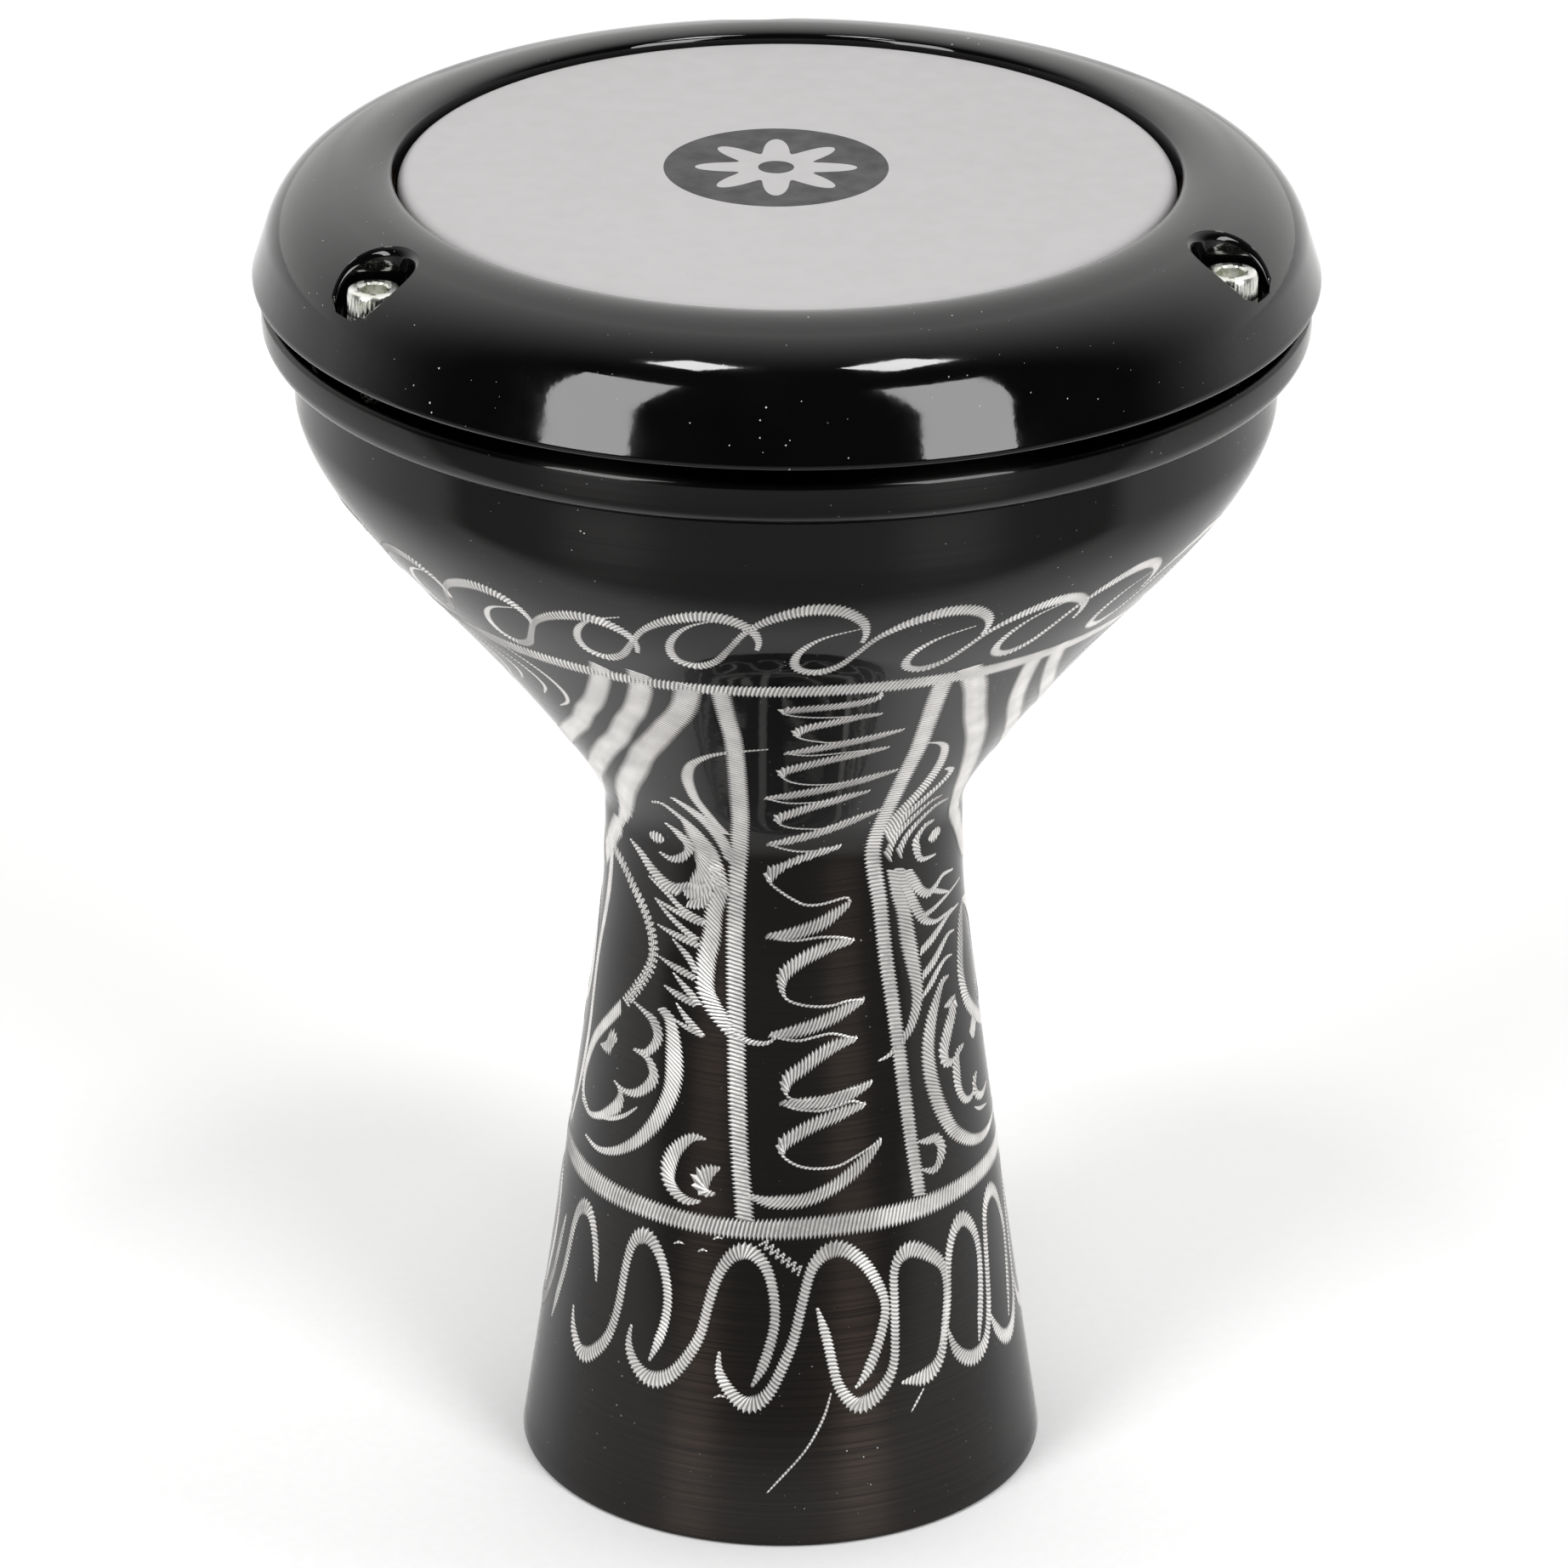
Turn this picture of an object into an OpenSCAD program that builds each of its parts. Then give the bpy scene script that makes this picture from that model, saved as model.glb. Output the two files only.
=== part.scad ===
// Goblet drum (darbuka): a cast aluminium shell, a film drumhead in a flesh hoop,
// and a domed tension ring drawn down by recessed socket screws.
// Millimetres, +Z up. The origin is the centre of the foot's rest face.

/* [Overall] */
// Outer diameter of the tension ring, the widest part of the drum
ring_d = 200; // [180:1:240]
// Height of the tension ring's crown above the floor
total_h = 266.5; // [240:0.5:320]

/* [Shell] */
// Outer diameter of the foot
foot_d = 102.6; // [90:0.2:130]
// Outer diameter of the neck at its narrowest
neck_d = 69; // [60:0.5:83]
// Height of the narrowest part of the neck
neck_z = 134; // [110:1:150]
// How far the foot's cone is drawn in from a straight side
cone_hollow = 0.4; // [0:0.1:3]
// Thickness of the shell's wall
wall = 3.6; // [2.4:0.1:5]
// How far the bowl's side stands in from the tension ring's edge
bowl_inset = 7.5; // [6:0.1:9]
// Height of the bowl's upright side below the flange
bowl_side_h = 9.5; // [6:0.5:14]
// Thickness of the web that joins the bowl to the bearing collar
web_t = 5; // [3:0.5:7]
// Metal left under each tapped hole
tap_floor = 1.9; // [1.6:0.1:4]
// How far each tapped boss reaches below the crease under the flange
boss_drop = 3; // [2:0.5:5]
// How far the flange's edge stands in from the tension ring's edge
flange_inset = 1.5; // [1:0.1:3]
// Rounding of the foot's lower edge
foot_edge = 0.6; // [0.3:0.1:1]
// Rounding of the flange's upper edge
flange_edge = 1.2; // [0.5:0.1:2]
// Fillet between the bowl and the web
bowl_fillet = 5; // [3:0.5:6]
// Fillet between the web and the collar
collar_fillet = 3; // [2:0.5:4]

/* [Drumhead] */
// Thickness of the film
film_t = 0.25; // [0.18:0.01:0.4]
// Depth of the film's face below the crown of the ring
head_drop = 1.5; // [0.5:0.1:3]
// Outer radius of the film's rounded shoulder
film_shoulder = 2.65; // [2:0.05:4]
// Gap between the film's collar and the lip of the ring
film_gap = 0.95; // [0.6:0.05:2]
// Wall thickness of the bearing collar at its top
collar_t = 4.9; // [4:0.1:8]
// Width of the flesh hoop
hoop_w = 6.7; // [5:0.1:8]
// Height of the flesh hoop
hoop_h = 8; // [6:0.5:9.5]
// Sheet thickness of the flesh hoop's channel
hoop_t = 0.7; // [0.5:0.1:1.2]

/* [Tension ring] */
// Width of the ring, from its lip to its outer edge
ring_w = 26.4; // [25.5:0.1:32]
// Height of the ring, from its lower edge to its crown
ring_h = 21.2; // [19:0.1:24]
// Depth of the lip that bears on the flesh hoop, below the crown
lip_h = 10.5; // [9:0.5:12.6]
// Gap between the ring's lower edge and the flange
ring_gap = 3.1; // [2.5:0.1:5]
// Thickness of the ring's casting
ring_wall = 4; // [3:0.5:5]
// Rounding of the ring's lower edge
ring_edge = 0.8; // [0.4:0.1:1.2]
// Fillet at the top of the hollow under the ring
hollow_fillet = 2; // [1:0.5:3]

/* [Screws] */
// Number of tension screws
screw_count = 3; // [3:1:3]
// Bearing of the first screw about the drum's axis
screw_bearing = 94; // [0:1:120]
// Distance of the screws in from the ring's edge
screw_inset = 10; // [9.5:0.1:11]
// Diameter of the screw's shank
screw_d = 6; // [5:0.5:6]
// Length of the screw under its head
screw_len = 18; // [16:1:22]
// Diameter of the screw's head
head_d = 10; // [9:0.5:10.5]
// Height of the screw's head
head_h = 6; // [5:0.5:6.5]
// Width across flats of the screw's hex socket
hex_af = 5; // [4:0.5:5]
// Depth of the seat of the screws below the ring's crown
seat_depth = 12.1; // [11:0.1:13]
// Depth of the recess around each screw head, below the crown
recess_depth = 10.3; // [9:0.1:10.8]
// Gap between a screw head and the wall of its recess
recess_gap = 2.1; // [1.5:0.1:2.4]
// Thickness of the wall around each recess, inside the ring
recess_wall = 2.5; // [2:0.1:3]
// Chamfer at the screw's tip
tip_chamfer = 0.6; // [0.3:0.1:0.8]
// Chamfer around the top of the screw's head
head_chamfer = 0.5; // [0.3:0.1:0.8]

/* [Fits] */
// Radial clearance of a shank in its tapped hole
thread_clear = 0.05; // [0.02:0.01:0.09]
// Radial clearance of a shank and of a head in the ring
bore_clear = 0.4; // [0.3:0.05:0.6]
// Clearance between the hoop and the pieces beside it
hoop_clear = 0.4; // [0.3:0.05:0.6]
// Clearance between the film's collar and the resin
resin_clear = 0.3; // [0.2:0.05:0.5]
// Depth of the resin's face below the rim of the hoop
resin_drop = 1.5; // [0.5:0.1:2]
// Gap left under the film's end with the ring at its lowest setting
film_end_gap = 0.4; // [0.2:0.1:1]
// Gap left under each screw's tip with the ring at its lowest setting
tip_gap = 0.5; // [0.3:0.1:1]
// Travel of the ring from rest down to its lowest setting
travel_down = 1.5; // [0.5:0.1:2]

/* [Hidden] */
$fn = 160;
// How far a cut runs past the face it opens
over = 1;

// Heights, worked down from the crown
film_top = total_h - head_drop;
edge_top = film_top - film_t;
lip_z = total_h - lip_h;
ring_z = total_h - ring_h;
seat_z = total_h - seat_depth;
recess_z = total_h - recess_depth;
flange_z = ring_z - ring_gap;
tip_z = seat_z - screw_len;
tap_z = tip_z - travel_down - tip_gap;
crease_z = tap_z - tap_floor;
web_z = flange_z - web_t;
hoop_z = lip_z - hoop_h;

// Radii, worked in from the ring's edge
ring_r = ring_d / 2;
lip_r = ring_r - ring_w;
film_r = lip_r - film_gap;
edge_r = film_r - film_t;
collar_in_r = edge_r - collar_t;
screw_r = ring_r - screw_inset;
recess_r = head_d / 2 + recess_gap;
flange_r = ring_r - flange_inset;
bowl_r = ring_r - bowl_inset;
neck_r = neck_d / 2;
foot_r = foot_d / 2;

// The film's collar hangs in the channel between its inner wall and the resin
channel_r = edge_r - hoop_clear;
hoop_in_r = channel_r - hoop_t;
hoop_out_r = hoop_in_r + hoop_w;
collar_out_r = hoop_in_r - hoop_clear;
resin_r = film_r + resin_clear;
resin_top = lip_z - resin_drop;
film_end = hoop_z + hoop_t + travel_down + film_end_gap;

// Anchors of the shell's outline
cone_top = [neck_r + 1.1, neck_z - 21];
cone_low = [foot_r, 0] + (cone_top - [foot_r, 0]) / 3;
cone_high = [foot_r, 0] + (cone_top - [foot_r, 0]) * 2 / 3;
throat = [neck_r + 8.95, neck_z + 21];
shoulder = [bowl_r - 16.6, crease_z - 37.5];
shoulder_top = [bowl_r, crease_z - bowl_side_h];
flare = (shoulder[0] - throat[0]) / (shoulder[1] - throat[1]);
flare_low = 0.875 * flare;
flare_high = 1.085 * flare;

// Points along a cubic curve, without its last one
function curve(a, b, c, d, n = 10) = [
    for (i = [0:n - 1])
        let (t = i / n, s = 1 - t)
        s * s * s * a + 3 * s * s * t * b + 3 * s * t * t * c + t * t * t * d
];

// Points along an arc about c, both ends included
function arc(c, r, a0, a1, n = 6) = [
    for (i = [0:n])
        let (a = a0 + (a1 - a0) * i / n)
        c + r * [cos(a), sin(a)]
];

// A path moved to its left by d
function inset(path, d) = [
    for (i = [0:len(path) - 1])
        let (
            a = path[max(i - 1, 0)],
            b = path[min(i + 1, len(path) - 1)],
            t = (b - a) / norm(b - a)
        )
        path[i] + d * [-t[1], t[0]]
];

// Outside of the shell from the top of the foot's edge to the bowl's side
function body_path() = let (
    rise = shoulder[1] - throat[1],
    reach = 0.64 * (bowl_r - shoulder[0]) / flare_high
) concat(
    curve([foot_r, foot_edge], cone_low - [cone_hollow, 0], cone_high - [cone_hollow, 0], cone_top),
    curve(cone_top, cone_top + [-0.9, 7], [neck_r, neck_z - 7], [neck_r, neck_z]),
    [[neck_r, neck_z]],
    curve([neck_r, neck_z + 3.5], [neck_r, neck_z + 8.5],
          throat - 7 * [flare_low, 1], throat),
    curve(throat, throat + rise / 3 * [flare_low, 1],
          shoulder - rise / 3 * [flare_high, 1], shoulder),
    curve(shoulder, shoulder + reach * [flare_high, 1],
          shoulder_top - [0, 6], shoulder_top),
    [shoulder_top]
);

function shell_outside() = concat(
    [[0, 0]],
    arc([foot_r - foot_edge, foot_edge], foot_edge, -90, 0),
    [for (i = [1:len(body_path()) - 1]) body_path()[i]],
    curve([bowl_r, crease_z], [bowl_r + 3, crease_z + 0.4],
          [flange_r, crease_z + 2], [flange_r, crease_z + 5.5]),
    arc([flange_r - flange_edge, flange_z - flange_edge], flange_edge, 0, 90),
    [[collar_out_r, flange_z], [collar_out_r, lip_z + 2], [edge_r, lip_z + 3.5]],
    arc([film_r - film_shoulder, film_top - film_shoulder],
        film_shoulder - film_t, 0, 90, 8),
    [[0, edge_top]]
);

function shell_inside() = let (
    skin = inset(body_path(), wall),
    side = bowl_r - wall
) concat(
    [[0, -over], [skin[0][0] + 0.2, -over]],
    skin,
    arc([side - bowl_fillet, web_z - bowl_fillet], bowl_fillet, 0, 90),
    arc([collar_in_r + collar_fillet, web_z + collar_fillet], collar_fillet, 270, 180),
    [[collar_in_r, edge_top - over], [collar_in_r + 2 * over, edge_top + over], [0, edge_top + over]]
);

// Outside of the tension ring, with its underside flat
function ring_outside() = let (
    bend = [ring_r - 14.4, total_h - 1.45],
    crown = [lip_r + 4.4, total_h],
    lip_top = [lip_r, total_h - 1.6]
) concat(
    [[lip_r, lip_z], [hoop_out_r + hoop_clear, lip_z], [hoop_out_r + hoop_clear, ring_z]],
    arc([ring_r - ring_edge, ring_z + ring_edge], ring_edge, -90, 0),
    curve([ring_r - 2.4, total_h - 13], [ring_r - 4.1, total_h - 7],
          [ring_r - 8.9, total_h - 3.15], bend, 12),
    curve(bend, bend + [-2.3, 0.6], crown + [3, 0], crown),
    curve(crown, crown - [2.2, 0], lip_top + [0, 1.3], lip_top),
    [lip_top]
);

// Hollow under the tension ring, open at its lower edge
function ring_hollow() = let (
    inner = hoop_out_r + hoop_clear + ring_wall,
    outer = ring_r - ring_wall,
    top = total_h - 2 * ring_wall
) concat(
    [[inner, ring_z - over], [outer - 0.8, ring_z - over]],
    curve([outer - 1.6, ring_z + 6.5], [outer - 3, top - 3],
          [outer - 5.5, top], [outer - 9.5, top], 8),
    arc([inner + hollow_fillet, top - hollow_fillet], hollow_fillet, 90, 180)
);

module revolve(outline) {
    rotate_extrude() polygon(outline);
}

// Children, copied to each screw's place
module at_screws() {
    for (i = [0:screw_count - 1])
        rotate(screw_bearing + i * 360 / screw_count) translate([screw_r, 0, 0]) children();
}

module shell() {
    boss_z = crease_z - boss_drop;
    color([0.10, 0.085, 0.075]) difference() {
        union() {
            difference() {
                revolve(shell_outside());
                revolve(shell_inside());
            }
            intersection() {
                revolve(shell_outside());
                at_screws() translate([0, 0, boss_z])
                    cylinder(r = screw_d / 2 + wall, h = flange_z - boss_z - over);
            }
        }
        at_screws() translate([0, 0, tap_z])
            cylinder(r = screw_d / 2 + thread_clear, h = ring_gap + flange_z - tap_z);
    }
}

module drumhead_film() {
    shoulder_r = film_r - film_shoulder;
    shoulder_z = film_top - film_shoulder;
    color([0.84, 0.83, 0.82]) revolve(concat(
        [[0, edge_top]],
        arc([shoulder_r, shoulder_z], film_shoulder - film_t, 90, 0, 8),
        [[edge_r, film_end], [film_r, film_end]],
        arc([shoulder_r, shoulder_z], film_shoulder, 0, 90, 8),
        [[0, film_top]]
    ));
}

module flesh_hoop() {
    color([0.75, 0.76, 0.78]) revolve([
        [hoop_in_r, hoop_z], [hoop_out_r, hoop_z], [hoop_out_r, lip_z],
        [hoop_out_r - hoop_t, lip_z], [hoop_out_r - hoop_t, hoop_z + hoop_t],
        [channel_r, hoop_z + hoop_t], [channel_r, lip_z], [hoop_in_r, lip_z]
    ]);
}

module hoop_resin() {
    color([0.72, 0.62, 0.42]) revolve([
        [resin_r, hoop_z + hoop_t], [hoop_out_r - hoop_t, hoop_z + hoop_t],
        [hoop_out_r - hoop_t, resin_top], [resin_r, resin_top]
    ]);
}

module tension_ring() {
    color([0.06, 0.06, 0.065]) difference() {
        union() {
            difference() {
                revolve(ring_outside());
                revolve(ring_hollow());
            }
            intersection() {
                revolve(ring_outside());
                at_screws() translate([0, 0, ring_z])
                    cylinder(r = recess_r + recess_wall, h = ring_h);
            }
        }
        at_screws() {
            translate([0, 0, recess_z]) cylinder(r = recess_r, h = recess_depth + over);
            translate([0, 0, seat_z]) cylinder(r = head_d / 2 + bore_clear, h = seat_depth);
            translate([0, 0, ring_z - over])
                cylinder(r = screw_d / 2 + bore_clear, h = seat_z - ring_z + 2 * over);
        }
    }
}

// One socket-head screw, in place; its shank is the thread's outer diameter
module tension_screw(i) {
    head_r = head_d / 2;
    shank_r = screw_d / 2;
    color([0.78, 0.79, 0.77])
        rotate(screw_bearing + i * 360 / screw_count) translate([screw_r, 0, 0])
            difference() {
                revolve([
                    [0, tip_z], [shank_r - tip_chamfer, tip_z], [shank_r, tip_z + tip_chamfer],
                    [shank_r, seat_z], [head_r, seat_z],
                    [head_r, seat_z + head_h - head_chamfer],
                    [head_r - head_chamfer, seat_z + head_h],
                    [0, seat_z + head_h]
                ]);
                translate([0, 0, seat_z + head_h / 2])
                    cylinder(d = hex_af / cos(30), h = head_h, $fn = 6);
            }
}

module tension_screw_1() { tension_screw(0); }
module tension_screw_2() { tension_screw(1); }
module tension_screw_3() { tension_screw(2); }

shell();
drumhead_film();
flesh_hoop();
hoop_resin();
tension_ring();
tension_screw_1();
tension_screw_2();
tension_screw_3();
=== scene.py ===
"""Looks of a goblet drum (darbuka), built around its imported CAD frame.

Sizes are millimetres until a mesh is made. Azimuths are degrees about the drum's
axis, from the front (-Y) towards the right (+X). Heights are above the floor.
"""

import bisect
import math

import bpy
from mathutils import Matrix, Vector


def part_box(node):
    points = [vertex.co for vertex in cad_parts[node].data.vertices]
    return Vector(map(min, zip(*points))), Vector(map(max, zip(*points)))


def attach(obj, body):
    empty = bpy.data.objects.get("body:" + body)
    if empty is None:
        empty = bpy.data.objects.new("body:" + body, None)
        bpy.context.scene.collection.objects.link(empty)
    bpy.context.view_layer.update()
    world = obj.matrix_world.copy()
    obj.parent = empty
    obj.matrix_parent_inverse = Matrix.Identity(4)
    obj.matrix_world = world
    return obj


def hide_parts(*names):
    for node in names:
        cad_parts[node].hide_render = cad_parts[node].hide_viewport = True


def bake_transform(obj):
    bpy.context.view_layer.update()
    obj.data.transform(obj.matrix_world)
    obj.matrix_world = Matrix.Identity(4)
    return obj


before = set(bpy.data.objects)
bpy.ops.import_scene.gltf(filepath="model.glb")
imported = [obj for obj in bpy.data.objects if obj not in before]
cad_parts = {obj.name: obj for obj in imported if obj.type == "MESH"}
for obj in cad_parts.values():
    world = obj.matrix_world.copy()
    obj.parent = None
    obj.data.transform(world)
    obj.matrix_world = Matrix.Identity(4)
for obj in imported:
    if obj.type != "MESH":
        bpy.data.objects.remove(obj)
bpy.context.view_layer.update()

MM = 0.001

# Sizes that the frame gives
ring_low, ring_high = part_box("tension_ring")
RING_R = ring_high.x / MM
TOP = ring_high.z / MM
RING_Z = ring_low.z / MM
FILM_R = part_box("drumhead_film")[1].x / MM
FILM_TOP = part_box("drumhead_film")[1].z / MM
FILM_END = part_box("drumhead_film")[0].z / MM
SCREWS = [node for node in sorted(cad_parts) if node.startswith("tension_screw")]

# Sizes of the shell, as in the CAD
FOOT_R = 51.3
FOOT_EDGE = 0.6
NECK_R = 34.5
NECK_Z = 134
WALL = 3.6
BOWL_R = RING_R - 7.5
FLANGE_R = RING_R - 1.5
FLANGE_EDGE = 1.2
FLANGE_Z = RING_Z - 3.1
CREASE_Z = FLANGE_Z - 9.7
WEB_Z = FLANGE_Z - 5
FILM_T = 0.25
SHOULDER_R = 2.65
COLLAR_OUT_R = FILM_R - 1.75
COLLAR_IN_R = FILM_R - 5.15

# Sizes of the ring and its screws, as in the CAD
LIP_R = RING_R - 26.4
LIP_Z = TOP - 10.5
STEP_R = LIP_R + 4.8
RING_WALL = 4
RECESS_R = 7.1
RECESS_Z = TOP - 10.3
SEAT_Z = TOP - 12.1
SEAT_R = 5.4
SHANK_HOLE_R = 3.4
TAPPED_R = 3.05
TAPPED_Z = TOP - 32.1
HEAD_R = 5
SHANK_R = 3
HEX_AF = 5
HEX_DEPTH = 3
THREAD_PITCH = 1
THREAD_DEPTH = 0.6

# Looks that the CAD leaves out: the recesses' rounded rims, and the screws' knurls
ROUND_OVER = 1.5
RIM_LOWEST = RECESS_Z + ROUND_OVER + 0.1
KNURL_RIDGES = 36
KNURL_DEPTH = 0.16

# The print on the head: a roundel set a little left of the middle
PRINT_CENTRE = (-2.1, 1.5)
PRINT_R = 21
PRINT_POINTS = 8
# The star, as shares of the roundel's radius
STAR_WAIST = 0.36
STAR_TIP = 0.72
STAR_EYE = 0.16

SEGMENTS = 288
RING_SEGMENTS = 360
BOSS_SEGMENTS = 48
RECESS_SEGMENTS = 96


# ---------------------------------------------------------------- outlines


def shift(point, dr, dz):
    return (point[0] + dr, point[1] + dz)


def between(a, b, t):
    return (a[0] + (b[0] - a[0]) * t, a[1] + (b[1] - a[1]) * t)


def cubic(a, b, c, d, n=20):
    """Points along a cubic curve, without its last one."""
    points = []
    for i in range(n):
        t = i / n
        s = 1 - t
        k = (s**3, 3 * s * s * t, 3 * s * t * t, t**3)
        points.append(tuple(sum(w * p[j] for w, p in zip(k, (a, b, c, d))) for j in (0, 1)))
    return points


def arc(centre, r, start, end, n=8):
    """Points along an arc, both ends included."""
    turns = [math.radians(start + (end - start) * i / n) for i in range(n + 1)]
    return [shift(centre, r * math.cos(t), r * math.sin(t)) for t in turns]


def straight(a, b, n):
    """Points along a straight line, without its last one."""
    return [between(a, b, i / n) for i in range(n)]


def moved_in(path, d):
    """A path moved to its left by d."""
    out = []
    for i, point in enumerate(path):
        a, b = path[max(i - 1, 0)], path[min(i + 1, len(path) - 1)]
        length = math.hypot(b[0] - a[0], b[1] - a[1])
        out.append(shift(point, -d * (b[1] - a[1]) / length, d * (b[0] - a[0]) / length))
    return out


def body_path():
    """The shell's side, from the foot's edge up to the bowl's upright side."""
    foot = (FOOT_R, 0)
    cone_top = (NECK_R + 1.1, NECK_Z - 21)
    waist = (NECK_R, NECK_Z)
    waist_top = (NECK_R, NECK_Z + 3.5)
    throat = (NECK_R + 8.95, NECK_Z + 21)
    shoulder = (BOWL_R - 16.6, CREASE_Z - 37.5)
    shoulder_top = (BOWL_R, CREASE_Z - 9.5)
    rise = shoulder[1] - throat[1]
    flare = (shoulder[0] - throat[0]) / rise
    slow, fast = 0.875 * flare, 1.085 * flare
    reach = 0.64 * (BOWL_R - shoulder[0]) / fast
    hollow = -0.4
    return (
        cubic((FOOT_R, FOOT_EDGE), shift(between(foot, cone_top, 1 / 3), hollow, 0),
              shift(between(foot, cone_top, 2 / 3), hollow, 0), cone_top, 40)
        + cubic(cone_top, shift(cone_top, -0.9, 7), shift(waist, 0, -7), waist)
        + straight(waist, waist_top, 3)
        + cubic(waist_top, shift(waist_top, 0, 5), shift(throat, -7 * slow, -7), throat)
        + cubic(throat, shift(throat, rise / 3 * slow, rise / 3),
                shift(shoulder, -rise / 3 * fast, -rise / 3), shoulder, 30)
        + cubic(shoulder, shift(shoulder, reach * fast, reach), shift(shoulder_top, 0, -6),
                shoulder_top)
        + [shoulder_top]
    )


def shell_outline():
    """The shell's whole section and the first index of its inside."""
    side = body_path()
    bowl_in = BOWL_R - WALL
    outside = (
        arc((FOOT_R - FOOT_EDGE, FOOT_EDGE), FOOT_EDGE, -90, 0, 5)
        + side[1:-1]
        + straight(side[-1], (BOWL_R, CREASE_Z), 5)
        + cubic((BOWL_R, CREASE_Z), (BOWL_R + 3, CREASE_Z + 0.4),
                (FLANGE_R, CREASE_Z + 2), (FLANGE_R, CREASE_Z + 5.5), 14)
        + arc((FLANGE_R - FLANGE_EDGE, FLANGE_Z - FLANGE_EDGE), FLANGE_EDGE, 0, 90)
        + [(COLLAR_OUT_R, FLANGE_Z), (COLLAR_OUT_R, LIP_Z + 2), (FILM_R - FILM_T, LIP_Z + 3.5)]
        + arc((FILM_R - SHOULDER_R, FILM_TOP - SHOULDER_R), SHOULDER_R - FILM_T, 0, 90)
        + [(COLLAR_IN_R + 1, FILM_TOP - FILM_T), (COLLAR_IN_R, FILM_TOP - FILM_T - 1)]
    )
    skin = moved_in(side, WALL)
    inside = (
        arc((COLLAR_IN_R + 3, WEB_Z + 3), 3, 180, 270, 5)
        + arc((bowl_in - 5, WEB_Z - 5), 5, 90, 0, 6)
        + skin[:1:-1]
        + [(skin[0][0] + 0.2, 0)]
    )
    return outside + inside, len(outside) - 1


def ring_top():
    """The ring's outside, from its lower edge over the crown to the lip."""
    edge = 0.8
    flank = (RING_R - 2.4, TOP - 13)
    bend = (RING_R - 14.4, TOP - 1.45)
    crown = (LIP_R + 4.4, TOP)
    lip_top = (LIP_R, TOP - 1.6)
    return (
        arc((RING_R - edge, RING_Z + edge), edge, -90, 0, 6)
        + straight((RING_R, RING_Z + edge), flank, 12)[1:]
        + cubic(flank, (RING_R - 4.1, TOP - 7), (RING_R - 8.9, TOP - 3.15), bend, 26)
        + cubic(bend, shift(bend, -2.3, 0.6), shift(crown, 3, 0), crown, 12)
        + cubic(crown, shift(crown, -2.2, 0), shift(lip_top, 0, 1.3), lip_top, 10)
        + [lip_top]
    )


def ring_outline():
    inner = STEP_R + RING_WALL
    outer = RING_R - RING_WALL
    top = TOP - 2 * RING_WALL
    foot = (outer - 1.6, RING_Z + 6.5)
    return (
        ring_top()
        + [(LIP_R, LIP_Z), (STEP_R, LIP_Z), (STEP_R, RING_Z), (inner, RING_Z)]
        + arc((inner + 2, top - 2), 2, 180, 90, 5)
        + cubic((outer - 9.5, top), (outer - 5.5, top), (outer - 3, top - 3), foot)
        + [foot, (outer - 0.8, RING_Z)]
    )


def film_outline():
    centre = (FILM_R - SHOULDER_R, FILM_TOP - SHOULDER_R)
    inner = FILM_R - FILM_T
    side = straight((inner, centre[1]), (inner, FILM_END), 10) + [(inner, FILM_END)]
    flat = straight((0, FILM_TOP - FILM_T), (centre[0], FILM_TOP - FILM_T), 12)
    return (
        flat
        + arc(centre, SHOULDER_R - FILM_T, 90, 0)[:-1]
        + side
        + [(r + FILM_T, z) for r, z in side[::-1]][:-1]
        + arc(centre, SHOULDER_R, 0, 90)
        + [(r, z + FILM_T) for r, z in flat[::-1]]
    )


def rim_height(path, point):
    """Height of the crown at a point, kept above the floor of the recesses."""
    r = math.hypot(point[0], point[1])
    for (r0, z0), (r1, z1) in zip(path[:-1], path[1:]):
        if r1 <= r <= r0 and z0 > RING_Z + 2:
            return max(z0 + (z1 - z0) * (r0 - r) / max(r0 - r1, 1e-9), RIM_LOWEST)
    return RIM_LOWEST


# ---------------------------------------------------------------- meshes


def mesh_object(name, verts, faces, materials, indices=None, sharp=40, body=None):
    """A mesh in place, from millimetres, with smooth faces and sharp creases."""
    mesh = bpy.data.meshes.new(name)
    mesh.from_pydata([(x * MM, y * MM, z * MM) for x, y, z in verts], [], faces)
    for made in materials:
        mesh.materials.append(made)
    if indices:
        mesh.polygons.foreach_set("material_index", indices)
    mesh.validate()
    mesh.polygons.foreach_set("use_smooth", [True] * len(mesh.polygons))
    mesh.set_sharp_from_angle(angle=math.radians(sharp))
    obj = bpy.data.objects.new(name, mesh)
    bpy.context.scene.collection.objects.link(obj)
    if body:
        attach(obj, body)
    return obj


def revolved(outline, segments=SEGMENTS, centre=(0, 0)):
    """A closed outline turned about an upright axis, and the outline index of each of its faces."""
    verts, rings = [], []
    for r, z in outline:
        if r < 1e-6:
            rings.append([len(verts)] * segments)
            verts.append((*centre, z))
            continue
        rings.append([len(verts) + k for k in range(segments)])
        for k in range(segments):
            t = 2 * math.pi * k / segments
            verts.append((centre[0] + r * math.cos(t), centre[1] + r * math.sin(t), z))
    faces, owner = [], []
    for i, lower in enumerate(rings):
        upper = rings[(i + 1) % len(rings)]
        if lower[0] == lower[1] and upper[0] == upper[1]:
            continue
        for k in range(segments):
            m = (k + 1) % segments
            corners = [lower[k], lower[m], upper[m], upper[k]]
            faces.append(tuple(dict.fromkeys(corners)))
            owner.append(i)
    return verts, faces, owner


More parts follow.
